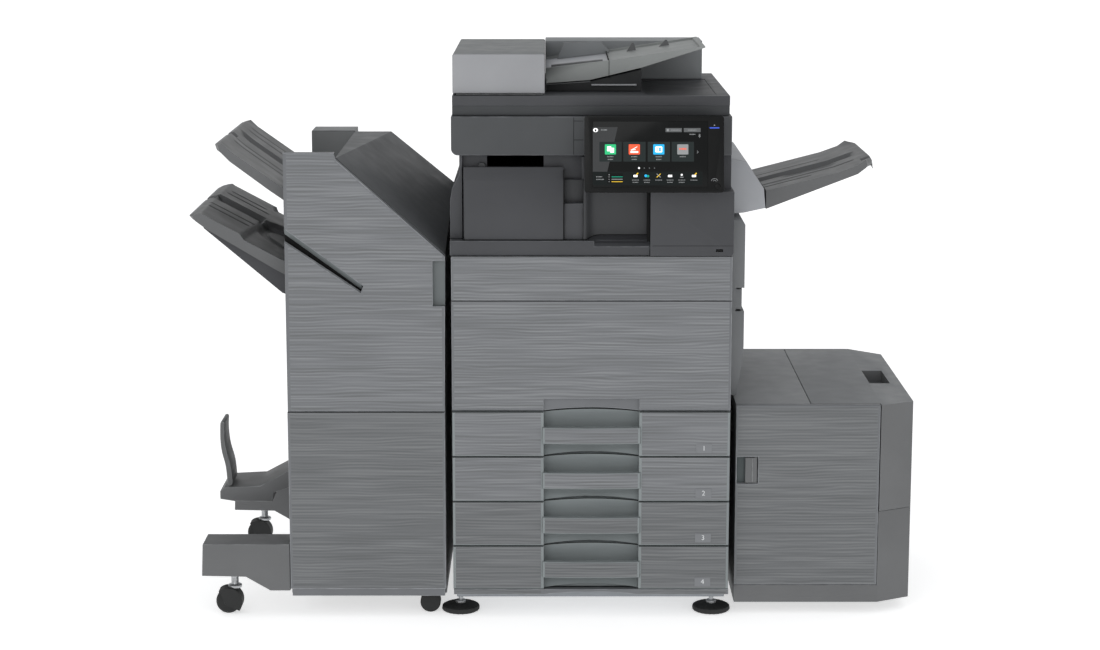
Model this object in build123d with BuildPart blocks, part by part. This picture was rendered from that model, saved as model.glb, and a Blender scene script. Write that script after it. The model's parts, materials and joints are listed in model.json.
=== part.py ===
import os

from build123d import *

# Office photocopier: main unit, finisher on the left, large paper cassette on the right.
# Millimetres, +X right, +Y back, +Z up, origin on the floor under the middle of the whole.

# ---------------------------------------------------------------- driving dimensions
gap = 1.0                     # seam between neighbouring covers
skin = 3.0                    # wall of a moulded cover
front = -294.0                # plane of the striped fronts
back = 356.0                  # rear of all three units
panel_depth = 20.0            # depth of a striped front

main_left = -214.5
main_right = 374.0
frame_left = main_left + 6.5
frame_right = main_right - 6.5
seams = [454.0, 356.0, 258.0, 160.5, 64.0]     # heights of the drawer seams
base_z = 52.0
strip_z = 691.5
front_top = 785.5

recess_left = -21.5
recess_right = 182.0
arch = 7.0                    # rise of a drawer's arched top edge
handle_height = 35.0
handle_drop = 34.5            # handle's top edge below the seam
tray_side = 25.0              # drawer tray's side, inside the frame

deck_z = 786.5
deck_top = 819.0
scan_bottom = 995.0
scan_top = 1076.5
scan_front = -274.0
lid_bottom = 1077.5
lid_step = 1098.4
lid_top = 1118.0
lid_front = -264.0
lid_left = -211.0
lid_right = 366.0
adf_top = 1203.7
adf_front = -254.0
adf_back = 218.0
feeder_right = -18.5

panel_width = 286.5
panel_height = 157.5
panel_tilt = 10.0
panel_x = 206.5

fin_left = -563.0
fin_right = -229.5
fin_top = 1002.5
fin_seam = 453.5
fin_base = 48.0

lcc_left = 389.0
lcc_corner = 698.0
lcc_right = 771.0
lcc_front = -264.0
lcc_top = 461.0
lcc_base = 26.0
lcc_seam_x = 549.0
lcc_side_seam = 227.0

os.makedirs("parts", exist_ok=True)
pieces = {}


# ---------------------------------------------------------------- helpers
def block(x0, x1, y0, y1, z0, z1, mode=Mode.ADD):
    """Box between two opposite corners, in the part being built."""
    with Locations(((x0 + x1) / 2, (y0 + y1) / 2, (z0 + z1) / 2)):
        Box(x1 - x0, y1 - y0, z1 - z0, mode=mode)


def at_y(y):
    """Plane with sketch axes X and Z at depth y; extrusion goes towards the front."""
    return Plane.XZ.offset(-y)


def prism(plane, points, amount, mode=Mode.ADD):
    """Straight-sided profile, extruded from its plane."""
    with BuildSketch(plane) as outline:
        with BuildLine():
            Polyline(*points, close=True)
        make_face()
    extrude(outline.sketch, amount=amount, mode=mode)


def rod(plane, radius, amount, mode=Mode.ADD):
    """Round bar, extruded from its plane."""
    with BuildSketch(plane) as disc:
        Circle(radius)
    extrude(disc.sketch, amount=amount, mode=mode)


def along_x(x, y, z):
    """Plane facing +X at a point."""
    return Plane(origin=(x, y, z), x_dir=(0, 1, 0), z_dir=(1, 0, 0))


def along_y(x, y, z):
    """Plane facing +Y at a point."""
    return Plane(origin=(x, y, z), x_dir=(1, 0, 0), z_dir=(0, 1, 0))


def along_z(x, y, z):
    """Plane facing +Z at a point."""
    return Plane(origin=(x, y, z), x_dir=(1, 0, 0), z_dir=(0, 0, 1))


# ---------------------------------------------------------------- main unit: frame and covers
frame_front = front + panel_depth + 4
with BuildPart() as main_frame:
    block(frame_left, frame_right, frame_front, 330, 40, base_z - 1)
    block(frame_left, frame_left + 10, frame_front, 330, base_z - 1, deck_z - 1)
    block(frame_right - 10, frame_right, frame_front, 330, base_z - 1, deck_z - 1)
    block(frame_left + 10, frame_right - 10, 322, 330, base_z - 1, deck_z - 1)
    block(frame_left + 10, frame_right - 10, frame_front, 322, 464, 470)
    block(frame_left + 10, frame_right - 10, frame_front, 322, 772, 778)
    for seam in seams[1:]:
        for rail_x in (frame_left + 10, frame_right - 20):
            block(rail_x, rail_x + 10, -260, 300, seam + 42, seam + 54)
pieces["main_frame"] = main_frame

foot_places = [(-201, -234), (342, -234), (-175, 270), (335, 270)]
with BuildPart() as levelling_feet:
    for foot_x, foot_y in foot_places:
        rod(along_z(foot_x, foot_y, 0), 41, 15)
        rod(along_z(foot_x, foot_y, 15), 9, 8)
        rod(along_z(foot_x, foot_y, 23), 5, 16.8)
    foot_rims = levelling_feet.edges().filter_by(GeomType.CIRCLE).group_by(Axis.Z)[1]
    fillet(foot_rims, radius=4)
pieces["levelling_feet"] = levelling_feet

with BuildPart() as side_covers:
    for cover_x in (main_left, main_right - 5):
        block(cover_x, cover_x + 5, frame_front, back - 5, base_z, deck_z - 1)
pieces["side_covers"] = side_covers

with BuildPart() as rear_cover:
    block(main_left, main_right, 332, back, base_z, scan_bottom - gap)
    block(main_left + skin, main_right - skin, 330, back - skin, base_z + skin,
          scan_bottom - gap - skin, mode=Mode.SUBTRACT)
    for row in range(10):
        vent_z = 560 + row * 14
        block(180, 320, back - 10, back + 1, vent_z, vent_z + 6, mode=Mode.SUBTRACT)
    block(frame_left + 36, frame_left + 64, back - 10, back + 1, 91, 114, mode=Mode.SUBTRACT)
    block(main_left - 1, main_left + 6, 331, back - 4, base_z, deck_z - 1, mode=Mode.SUBTRACT)
    block(main_right - 6, main_right + 1, 331, back - 4, base_z, deck_z - 1, mode=Mode.SUBTRACT)
    block(frame_left + 37, frame_left + 63, 333, back - 1, 92, 113)
    block(frame_left + 40, frame_left + 60, back - 12, back, 95, 110, mode=Mode.SUBTRACT)
    for pin_x in (-6, 0, 6):
        block(frame_left + 49 + pin_x, frame_left + 51 + pin_x, back - 12, back - 7, 100, 105)
pieces["rear_cover"] = rear_cover

# ---------------------------------------------------------------- striped fronts
def arched_front(z0, z1, arch_bottom, arch_top):
    """Front panel whose lower and upper edges can rise in an arch over the recess."""
    middle = (recess_left + recess_right) / 2
    with BuildSketch(at_y(front + panel_depth)) as face:
        with BuildLine():
            Line((main_left, z1), (main_left, z0))
            Line((main_left, z0), (recess_left, z0))
            if arch_bottom:
                ThreePointArc((recess_left, z0), (middle, z0 + arch), (recess_right, z0))
            else:
                Line((recess_left, z0), (recess_right, z0))
            Line((recess_right, z0), (main_right, z0))
            Line((main_right, z0), (main_right, z1))
            Line((main_right, z1), (recess_right, z1))
            if arch_top:
                ThreePointArc((recess_right, z1), (middle, z1 + arch), (recess_left, z1))
            else:
                Line((recess_right, z1), (recess_left, z1))
            Line((recess_left, z1), (main_left, z1))
        make_face()
    extrude(face.sketch, amount=panel_depth)


def finger_recess(z0, z1, depth):
    """Hollow behind a handle, shallow at its lower and upper ends and deep in the middle."""
    with BuildSketch(Plane.YZ.offset(recess_left + 1)) as section:
        with BuildLine():
            Line((front - 1, z1), (front - 1, z0))
            Line((front - 1, z0), (front + 6, z0))
            ThreePointArc((front + 6, z0), (front + depth, (z0 + z1) / 2), (front + 6, z1))
            Line((front + 6, z1), (front - 1, z1))
        make_face()
    extrude(section.sketch, amount=recess_right - recess_left - 2, mode=Mode.SUBTRACT)


for number in range(1, 5):
    top = seams[number - 1] - gap
    bottom = seams[number] + gap
    handle_top = seams[number - 1] - handle_drop
    with BuildPart() as drawer_front:
        arched_front(bottom, top, True, True)
        block(recess_left - 6, recess_right + 6, front + panel_depth, front + 36,
              bottom, top)
        finger_recess(bottom - 3, top + arch + 3, 30)
        with BuildSketch(Plane.XY.offset(handle_top - handle_height)):
            with BuildLine():
                ThreePointArc((recess_left - 2, front - 4),
                              ((recess_left + recess_right) / 2, front - 9),
                              (recess_right + 2, front - 4))
                Polyline((recess_right + 2, front - 4), (recess_right + 2, front + 8),
                         (recess_left - 2, front + 8), (recess_left - 2, front - 4))
            make_face()
        extrude(amount=handle_height)
    pieces[f"drawer_{number}_front"] = drawer_front

    box_front = front + 38
    with BuildPart() as drawer_tray:
        block(frame_left + tray_side, frame_right - tray_side, box_front, 300, bottom + 6, top - 14)
        block(frame_left + tray_side + skin, frame_right - tray_side - skin, box_front + skin,
              300 - skin, bottom + 6 + skin, top, mode=Mode.SUBTRACT)
        block(frame_left + 40, frame_right - 40, front + panel_depth, box_front,
              bottom + 10, top - 20)
        block(recess_left - 7, recess_right + 7, front + panel_depth - 1, front + 37,
              bottom, top + 2, mode=Mode.SUBTRACT)
    pieces[f"drawer_{number}_tray"] = drawer_tray

with BuildPart() as front_door:
    arched_front(seams[0] + gap / 2, strip_z - gap / 2, True, False)
    block(recess_left, recess_right, front - 1, front + 7, seams[0], seams[0] + 27,
          mode=Mode.SUBTRACT)
    fillet(front_door.edges().filter_by(Axis.X).group_by(Axis.Z)[0].group_by(Axis.Y)[0],
           radius=6)
    block(main_left + 20, main_right - 20, front + 14, front + panel_depth + 1,
          seams[0] + 40, strip_z - 15, mode=Mode.SUBTRACT)
pieces["front_door"] = front_door

with BuildPart() as front_trims:
    block(main_left, main_right, front, front + panel_depth, strip_z + gap / 2, front_top)
    block(main_left + 1, main_right + 1, front, front + panel_depth, base_z,
          seams[4] - gap / 2)
    with BuildSketch(at_y(front + panel_depth)):
        with BuildLine():
            ThreePointArc((recess_left, base_z), (80, base_z + 6), (recess_right, base_z))
            Line((recess_right, base_z), (recess_left, base_z))
        make_face()
    extrude(amount=panel_depth, mode=Mode.SUBTRACT)
pieces["front_trims"] = front_trims

# ---------------------------------------------------------------- main unit: upper casing
pillar_left = 202.0
with BuildPart() as exit_deck:
    block(-217, pillar_left - gap, front + 4, 325, deck_z, deck_top - 1)
    block(-214, pillar_left - gap - skin, front + 24, 322, deck_z - 1, deck_top - 5,
          mode=Mode.SUBTRACT)
    prism(Plane.YZ.offset(85), [(front + 3, 806), (front + 4, 806), (front + 17, deck_top - 1),
                                (front + 17, deck_top + 1), (front + 3, deck_top + 1)],
          pillar_left - 85, mode=Mode.SUBTRACT)
pieces["exit_deck"] = exit_deck

with BuildPart() as right_pillar:
    block(pillar_left, 376, front, 60, deck_z, 921)
    block(pillar_left, 372, front + 44, 60, 921, scan_bottom - gap)
    fillet(right_pillar.edges().filter_by(Axis.Y).group_by(Axis.Z)[0].sort_by(Axis.X)[-1:],
           radius=8)
    block(pillar_left + skin, 376 - skin, front + skin, 61, deck_z - 1, 921 - skin,
          mode=Mode.SUBTRACT)
    block(339, 354, front - 1, front + 12, 795, 801, mode=Mode.SUBTRACT)
pieces["right_pillar"] = right_pillar

with BuildPart() as upper_frame:
    block(-196, 372, 200, 325, deck_top, scan_bottom - gap)
    block(-193, 369, 203, 326, deck_top - 1, scan_bottom - gap - skin, mode=Mode.SUBTRACT)
    outline = [(-217, deck_top), (-217, 896), (-213, 924), (-197, 955),
               (-197, scan_bottom - gap), (-191, scan_bottom - gap), (-191, deck_top)]
    prism(at_y(199), outline, 199 - front - 30)
pieces["upper_frame"] = upper_frame

relay_front = front + 10
relay_right = 62.0
bay_right = 196.0             # right end of the recessed wall beside the relay unit
bay_wall_y = -254.0
with BuildPart() as relay_unit:
    block(-189, relay_right, relay_front + 24, 150, deck_top, 943)
    block(22, relay_right, relay_front + 6, relay_front + 24, deck_top, 895)
    block(-186, relay_right - skin, relay_front + 27, 151, deck_top - 1, 943 - skin,
          mode=Mode.SUBTRACT)
    block(-188, 21, relay_front + 23, relay_front + 40, 944, 969)
    block(relay_right - skin, bay_right, bay_wall_y, bay_wall_y + 4, deck_top, 990)
pieces["relay_unit"] = relay_unit

with BuildPart() as relay_cover:
    bevel = [(relay_front, deck_top + gap), (relay_front, 943), (relay_front + 14, 970),
             (relay_front + 22, 970), (relay_front + 22, deck_top + gap)]
    prism(Plane.YZ.offset(-188), bevel, 208)
    hinge_edge = relay_cover.edges().filter_by(Axis.Z).group_by(Axis.Y)[0].sort_by(Axis.X)[:1]
    fillet(hinge_edge, radius=4)
pieces["relay_cover"] = relay_cover

# ---------------------------------------------------------------- inside the main unit
with BuildPart() as laser_unit:
    block(-150, 300, -120, 250, 478, 530)
    block(-130, 280, -100, 230, 530, 552)
pieces["laser_unit"] = laser_unit

drum_pitch = 105.0
drum_start = -110.0
with BuildPart() as drum_units:
    for index in range(4):
        drum_x = drum_start + index * drum_pitch
        rod(along_y(drum_x, -240, 600), 15, 520)
        block(drum_x + 18, drum_x + 60, -240, 280, 575, 622)
pieces["drum_units"] = drum_units

belt_ends = (-145.5, 240.5)
with BuildPart() as transfer_unit:
    with BuildSketch(at_y(270)):
        with Locations((sum(belt_ends) / 2, 655)):
            SlotOverall(belt_ends[1] - belt_ends[0] + 44, 44)
            SlotOverall(belt_ends[1] - belt_ends[0] + 40, 40, mode=Mode.SUBTRACT)
    extrude(amount=500)
    for roller_x in belt_ends:
        rod(along_y(roller_x, -240, 655), 19.8, 520)
pieces["transfer_unit"] = transfer_unit

with BuildPart() as toner_cartridges:
    for index in range(4):
        toner_x = drum_start + index * drum_pitch + 28
        rod(along_y(toner_x, -250, 722), 34, 530)
pieces["toner_cartridges"] = toner_cartridges

fuser_x = 320.0
with BuildPart() as fuser_rollers:
    for roller_z in (700, 662):
        rod(along_y(fuser_x, -220, roller_z), 18, 480)
        rod(along_y(fuser_x, -240, roller_z), 6, 520)
pieces["fuser_rollers"] = fuser_rollers

# ---------------------------------------------------------------- scanner and platen cover
with BuildPart() as scanner_case:
    block(-213.5, 371, scan_front, 330, scan_bottom, scan_top)
    fillet(scanner_case.edges().filter_by(Axis.Y).group_by(Axis.Z)[0].sort_by(Axis.X)[:1],
           radius=14)
    block(-207, 365, scan_front + 6, 324, scan_bottom + 5, 1068, mode=Mode.SUBTRACT)
    block(-172, 332, -202, 232, 1067, scan_top + 1, mode=Mode.SUBTRACT)
    block(-180, 340, -210, 240, 1072, scan_top + 1, mode=Mode.SUBTRACT)
pieces["scanner_case"] = scanner_case

with BuildPart() as platen_glass:
    block(-179.5, 339.5, -209.5, 239.5, 1072, scan_top - 0.2)
pieces["platen_glass"] = platen_glass

with BuildPart() as scan_carriage:
    block(-200, -166, -240, 270, 1012, 1056)
    block(-186, -180, -235, 265, 1056, 1062)
pieces["scan_carriage"] = scan_carriage

lid_axis_y = 328.0
with BuildPart() as platen_cover:
    block(lid_left, lid_right, lid_front, 322, lid_bottom, lid_step)
    block(lid_left, lid_right + 0.5, lid_front - 1, 322, lid_step, lid_top)
    block(lid_left + 6, lid_right - 6, lid_front + 6, 316, lid_bottom + 8, lid_top - 10,
          mode=Mode.SUBTRACT)
    prism(at_y(155), [(192, lid_top + 1), (192, lid_top - 5), (340, lid_top - 1),
                      (340, lid_top + 1)], 155 - lid_front - 30, mode=Mode.SUBTRACT)
    for knuckle_x in (-160, 290):
        rod(along_x(knuckle_x, lid_axis_y, lid_bottom + 6), 5.5, 40)
        block(knuckle_x, knuckle_x + 40, 320, lid_axis_y, lid_bottom + 2, lid_bottom + 10)
pieces["platen_cover"] = platen_cover

with BuildPart() as adf_body:
    block(feeder_right + 0.5, 334, 160, 280, lid_top + 0.2, adf_top)
    block(-203, feeder_right - 4, adf_front + 6, 211, lid_top + 0.2, lid_top + 4)
    block(-195, -150, adf_front + 10, 205, lid_top + 4, 1180)
    block(-60, feeder_right - 4, adf_front + 10, 205, lid_top + 4, 1134)
    prism(at_y(150), [(feeder_right + 1, lid_top + 0.2), (feeder_right + 1, 1133.5), (78, 1140),
                      (186, 1165), (186, lid_top + 0.2)], 308)
    block(90, 187, -145, 140, lid_top + 1, 1133, mode=Mode.SUBTRACT)
    rod(along_y(-100, -150, 1150), 14, 240)
    rod(along_y(-100, -230, 1150), 4, 420)
pieces["adf_body"] = adf_body

with BuildPart() as feeder_cover:
    block(-210.5, feeder_right, adf_front, adf_back, lid_top + 4.5, adf_top)
    fillet(feeder_cover.edges().filter_by(Axis.Y).group_by(Axis.Z)[-1], radius=4)
    hinge_edge = feeder_cover.edges().filter_by(Axis.Y).group_by(Axis.Z)[0].sort_by(Axis.X)[:1]
    fillet(hinge_edge, radius=2.5)
    fillet(feeder_cover.faces().sort_by(Axis.Z)[-1].edges().group_by(Axis.Y)[0], radius=2)
    block(-210.5 + skin, feeder_right + 1, adf_front + skin, adf_back - skin,
          lid_top + 4, adf_top - skin, mode=Mode.SUBTRACT)
pieces["feeder_cover"] = feeder_cover

doc_front = -165.0
doc_back = 148.0
with BuildPart() as document_tray:
    outline = [(feeder_right + 2, 1168), (117, 1184), (320, 1214), (320.5, 1211),
               (186, 1169), (77, 1143), (feeder_right + 2, 1136)]
    prism(at_y(doc_back), outline, doc_back - doc_front)
    bed = [(feeder_right + 1, 1163), (117, 1179), (310, 1208), (310, 1230), (feeder_right + 1, 1230)]
    prism(at_y(doc_back - 8), bed, doc_back - doc_front - 16, mode=Mode.SUBTRACT)
    rod(along_y(-12, doc_front - 10, 1140.5), 4, doc_back - doc_front + 18)
pieces["document_tray"] = document_tray


with BuildPart() as front_guide:
    low_rail = [(-5, 1165.6), (105, 1178.7), (105, 1183), (-5, 1171)]
    prism(at_y(-107), low_rail, 5)
pieces["front_guide"] = front_guide

with BuildPart() as rear_guide:
    tall_rail = [(8, 1166.8), (117, 1179.6), (124, 1180.8), (124, 1184), (107, 1205), (23, 1203)]
    prism(at_y(112), tall_rail, 5)
pieces["rear_guide"] = rear_guide

# ---------------------------------------------------------------- operation panel
panel_axis_y = -303.0
panel_axis_z = 1060.0
panel_centre_z = 1004.0
panel_plane = Plane(origin=(panel_x, -333.5, panel_centre_z), x_dir=(1, 0, 0),
                    z_dir=(0, -1, 0)).rotated((-panel_tilt, 0, 0))
with BuildPart() as panel_housing:
    with BuildSketch(panel_plane):
        RectangleRounded(panel_width, panel_height, 6)
    extrude(amount=9)
    with BuildSketch(panel_plane):
        RectangleRounded(panel_width, panel_height, 6)
    extrude(amount=-7, taper=8)
    with BuildSketch(panel_plane.offset(6)):
        with Locations((-8, 0)):
            Rectangle(panel_width - 50, panel_height - 22)
    extrude(amount=6, mode=Mode.SUBTRACT)
    with BuildSketch(panel_plane.offset(6)):
        with Locations((130, -66)):
            Circle(6)
    extrude(amount=6, mode=Mode.SUBTRACT)
    for ear_x in (panel_x - 44, panel_x + 30):
        rod(along_x(ear_x, panel_axis_y, panel_axis_z), 7, 14)
        block(ear_x, ear_x + 14, -322, panel_axis_y, panel_axis_z - 7, panel_axis_z + 3)
    rod(along_x(panel_x - 40, panel_axis_y, panel_axis_z), 3, 80)
pieces["panel_housing"] = panel_housing

with BuildPart() as panel_screen:
    with BuildSketch(panel_plane.offset(6.2)):
        with Locations((-8, 0)):
            Rectangle(panel_width - 50.6, panel_height - 22.6)
    extrude(amount=2.6)
pieces["panel_screen"] = panel_screen

with BuildPart() as power_button:
    with BuildSketch(panel_plane.offset(7.2)):
        with Locations((130, -66)):
            Circle(5.5)
    extrude(amount=2.4)
pieces["power_button"] = power_button

with BuildPart() as panel_bracket:
    rod(along_x(panel_x - 28, panel_axis_y, panel_axis_z), 7, 56)
    block(panel_x - 28, panel_x + 28, panel_axis_y, scan_front, panel_axis_z - 7, panel_axis_z + 5)
    block(panel_x - 60, panel_x + 60, scan_front - 8, scan_front, panel_axis_z - 30, panel_axis_z + 8)
    rod(along_x(panel_x - 60, panel_axis_y, panel_axis_z), 3.3, 120, mode=Mode.SUBTRACT)
pieces["panel_bracket"] = panel_bracket

# ---------------------------------------------------------------- right side: door and exit tray
side_front = -194.0
side_back = 300.0
with BuildPart() as side_door:
    outline = [(main_right + 4, 468), (393, 468), (402, 520), (408, 574), (408, 838),
               (402, 848), (main_right + 4, 848)]
    prism(at_y(side_back), outline, side_back - side_front)
    block(main_right, 400, side_front + 8, side_back - 8, 520, 840, mode=Mode.SUBTRACT)
    block(388, 409, side_front - 1, side_front + 70, 651, 702, mode=Mode.SUBTRACT)
    block(386, 391, side_front + 6, side_front + 74, 646, 707)
    block(391, 403, side_front + 6, side_front + 62, 655, 698)
    rod(along_z(382, side_back - 4, 464), 3, 388)
pieces["side_door"] = side_door

tray_front = -150.0
tray_back = 230.0
with BuildPart() as exit_housing:
    outline = [(377.5, 975), (412, 968), (450, 910), (454, 868), (408, 858), (377.5, 855)]
    prism(at_y(tray_back), outline, tray_back - tray_front)
    prism(at_y(tray_back - 6), [(370, 962), (409, 955), (444, 906), (447, 912), (455, 912),
                                (455, 884), (370, 880)],
          tray_back - tray_front - 12, mode=Mode.SUBTRACT)
pieces["exit_housing"] = exit_housing

with BuildPart() as exit_tray:
    outline = [(455, 866), (684, 954), (690, 960), (684, 972), (610, 945), (455, 905)]
    prism(at_y(tray_back), outline, tray_back - tray_front)
    bed = [(450, 898), (610, 939), (700, 972), (700, 990), (450, 990)]
    prism(at_y(tray_back - 14), bed, tray_back - tray_front - 28, mode=Mode.SUBTRACT)
pieces["exit_tray"] = exit_tray

# ---------------------------------------------------------------- large paper cassette
lcc_plan = [(lcc_left, lcc_front), (lcc_corner, lcc_front), (lcc_right, lcc_front + 40),
            (lcc_right, back - 67), (lcc_corner + 2, back), (lcc_left, back)]
lcc_hollow = [(lcc_left + 6, lcc_front + 20), (lcc_corner, lcc_front + 20),
              (lcc_right - 6, lcc_front + 46), (lcc_right - 6, back - 70),
              (lcc_corner, back - 6), (lcc_left + 6, back - 6)]
with BuildPart() as lcc_case:
    prism(Plane.XY.offset(lcc_base), lcc_plan, lcc_top - lcc_base)
    prism(Plane.XY.offset(lcc_base + 46), lcc_hollow, lcc_top - lcc_base - 52, mode=Mode.SUBTRACT)
    block(lcc_left - 1, lcc_corner - gap, lcc_front - 1, lcc_front + 15, 64, lcc_top + 1,
          mode=Mode.SUBTRACT)
    block(lcc_seam_x - gap, lcc_right + 1, lcc_front + 15, back - 8, lcc_top - 9, lcc_top + 1,
          mode=Mode.SUBTRACT)
    block(lcc_corner - gap, lcc_right + 1, lcc_front - 1, back + 1, lcc_side_seam, lcc_top + 1,
          mode=Mode.SUBTRACT)
    for wheel_x in (420, 720):
        for wheel_y in (-110, 260):
            block(wheel_x - 24, wheel_x + 24, wheel_y - 16, wheel_y + 16, lcc_base - 1, 60,
                  mode=Mode.SUBTRACT)
    for wheel_x in (420, 720):
        for wheel_y in (-110, 260):
            rod(along_y(wheel_x, wheel_y - 12, 20), 20, 24)
            block(wheel_x - 5, wheel_x + 5, wheel_y - 14, wheel_y + 14, 38, 60)
pieces["lcc_case"] = lcc_case

with BuildPart() as lcc_front_panel:
    block(lcc_left, lcc_corner - 2 * gap, lcc_front, lcc_front + 14, 64 + gap, lcc_top)
    block(391.5, 437, lcc_front - 1, lcc_front + 10, 289, 347.5, mode=Mode.SUBTRACT)
    front_edge = lcc_front_panel.edges().filter_by(Axis.X).group_by(Axis.Z)[-1].sort_by(Axis.Y)[:1]
    fillet(front_edge, radius=3)
pieces["lcc_front_panel"] = lcc_front_panel

with BuildPart() as lcc_lever:
    block(410, 434.5, lcc_front + 1, lcc_front + 8, 291, 345.5)
    rod(along_z(432.5, lcc_front + 4.5, 289.5), 2.5, 57.5)
pieces["lcc_lever"] = lcc_lever

lid_plan = [(lcc_seam_x, lcc_front + 16), (lcc_corner, lcc_front + 16), (lcc_corner, lcc_front),
            (lcc_right, lcc_front + 40), (lcc_right, back - 67), (lcc_corner + 2, back),
            (lcc_corner, back), (lcc_corner, back - 9), (lcc_seam_x, back - 9)]
lid_hollow = [(lcc_seam_x - 5, lcc_front - 5), (lcc_corner - gap, lcc_front - 5),
              (lcc_corner - gap, lcc_front + 4), (lcc_corner + 5, lcc_front + 8),
              (lcc_right - 5, lcc_front + 44), (lcc_right - 5, back - 70),
              (lcc_corner + 2, back - 6), (lcc_corner - gap, back + 5), (lcc_seam_x - 5, back + 5)]
with BuildPart() as lcc_lid:
    prism(Plane.XY.offset(lcc_side_seam + gap), lid_plan, lcc_top - lcc_side_seam - gap)
    prism(Plane.XY.offset(lcc_side_seam), lid_hollow, lcc_top - lcc_side_seam - 6,
          mode=Mode.SUBTRACT)
    fillet(lcc_lid.edges().filter_by(Axis.Y).group_by(Axis.X)[0].sort_by(Axis.Z)[-1:], radius=3)
    block(692, 755, -50, 108, 430, lcc_top - 5)
    block(701, 746, -40, 98, 436, lcc_top + 1, mode=Mode.SUBTRACT)
pieces["lcc_lid"] = lcc_lid

with BuildPart() as lcc_lift_plate:
    block(420, 690, -200, 250, 80, 83)
    block(560, 600, -200, -120, 79, 84, mode=Mode.SUBTRACT)
pieces["lcc_lift_plate"] = lcc_lift_plate

# ---------------------------------------------------------------- finisher
wall = 6.0
fin_front = front + panel_depth + 4
with BuildPart() as finisher_frame:
    block(fin_left, fin_right, fin_front, back, fin_base, 64)
    block(fin_left, fin_left + wall, fin_front, back, 64, 935)
    block(fin_right - wall, fin_right, fin_front, back, 64, 772)
    block(fin_left + wall, fin_right - wall, back - wall, back, 64, 772)
    block(fin_left + wall, fin_right - wall, fin_front, back - wall, 446, 452)
    for slot_y in (-150, 160):
        block(fin_left - 1, fin_left + wall + 1, slot_y - 7, slot_y + 7, 480, 800,
              mode=Mode.SUBTRACT)
pieces["finisher_frame"] = finisher_frame

with BuildPart() as finisher_rear_block:
    block(fin_left + wall + gap, -456, 262, back, 773, 991)
    block(fin_left + wall + gap + skin, -456 - skin, 262 + skin, back - skin, 772, 988,
          mode=Mode.SUBTRACT)
pieces["finisher_rear_block"] = finisher_rear_block

with BuildPart() as finisher_internals:
    block(fin_left + wall + gap, -458, fin_front, 261, 902, 930)
    block(fin_left + wall + gap, fin_left + wall + 7, fin_front, 261, 860, 902)
    block(-470, -458, fin_front, 261, 780, 902)
    block(-530, -440, -240, -150, 640, 700)
    block(-520, -450, -230, -160, 700, 730)
pieces["finisher_internals"] = finisher_internals

with BuildPart() as finisher_lower_cover:
    block(fin_left, fin_right - 0.5, front, front + panel_depth, 64 + gap / 2, fin_seam - gap / 2)
    block(fin_left + 3, fin_right - 3, front + 3, front + panel_depth, fin_base, 66)
pieces["finisher_lower_cover"] = finisher_lower_cover

with BuildPart() as finisher_door:
    outline = [(fin_left + 0.5, fin_seam + gap / 2), (fin_right - 0.5, fin_seam + gap / 2),
               (-227, 785.5), (-453, 988), (-460, 991), (-455.5, fin_top),
               (fin_left + 0.5, fin_top)]
    prism(at_y(front + panel_depth), outline, panel_depth)
    hinge_edge = finisher_door.edges().filter_by(Axis.Z).group_by(Axis.X)[0].sort_by(Axis.Y)[:1]
    fillet(hinge_edge, radius=5)
    slit = [(fin_left - 5, 848), (-399, 723), (-404, 708), (fin_left - 5, 819)]
    prism(at_y(front + panel_depth + 1), slit, panel_depth + 2, mode=Mode.SUBTRACT)
    block(-253, -220, front - 1, front + 14, 680, 776, mode=Mode.SUBTRACT)
pieces["finisher_door"] = finisher_door

cover_back = 255.0


def cover_section(y, ridge_x, eave_z, inset):
    """Cross-section of the sloped top cover at one depth."""
    with BuildSketch(at_y(y)) as section:
        with BuildLine():
            Polyline((-455 + inset, 775 - 10 * inset), (-455 + inset, 990 - inset),
                     (ridge_x, 990 - inset), (-228 - inset, eave_z - inset),
                     (-228 - inset, 775 - 10 * inset), close=True)
        make_face()
    return section.sketch


with BuildPart() as finisher_top_cover:
    rear_section = cover_section(cover_back, -372, 872, 0)
    front_section = cover_section(front + panel_depth + 1, -453, 788, 0)
    loft([rear_section, front_section], ruled=True)
    rear_hollow = cover_section(cover_back - 4, -373, 870, 4)
    front_hollow = cover_section(front + panel_depth + 5, -450, 784, 4)
    loft([rear_hollow, front_hollow], ruled=True, mode=Mode.SUBTRACT)
    rod(along_x(-454, cover_back - 3, 778), 3, 225)
pieces["finisher_top_cover"] = finisher_top_cover

tray_y0 = -234.0
tray_y1 = 266.0
with BuildPart() as upper_tray:
    outline = [(fin_left - gap, 892), (fin_left - gap, 918), (-702, 1016), (-713, 1012),
               (-710, 1000), (-600, 918)]
    prism(at_y(tray_y1), outline, tray_y1 - tray_y0)
    for groove in range(4):
        groove_y = tray_y0 + 70 + groove * 110
        sunk = [(fin_left, 912.5), (-690, 1002), (-690, 1030), (fin_left, 1030)]
        prism(at_y(groove_y + 36), sunk, 36, mode=Mode.SUBTRACT)
pieces["upper_tray"] = upper_tray

with BuildPart() as stack_tray:
    outline = [(fin_left - gap, 692), (fin_left - gap, 772), (-744, 868), (-771, 861),
               (-764, 852), (-742, 840), (-590, 748), (-576, 700)]
    prism(at_y(tray_y1), outline, tray_y1 - tray_y0)
    for groove in range(4):
        groove_y = tray_y0 + 70 + groove * 110
        sunk = [(fin_left, 763), (-720, 850), (-720, 900), (fin_left, 900)]
        prism(at_y(groove_y + 36), sunk, 36, mode=Mode.SUBTRACT)
    for slot_y in (-150, 160):
        block(fin_left - gap - 1, fin_left + 18, slot_y - 4, slot_y + 4, 700, 760)
pieces["stack_tray"] = stack_tray

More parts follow.
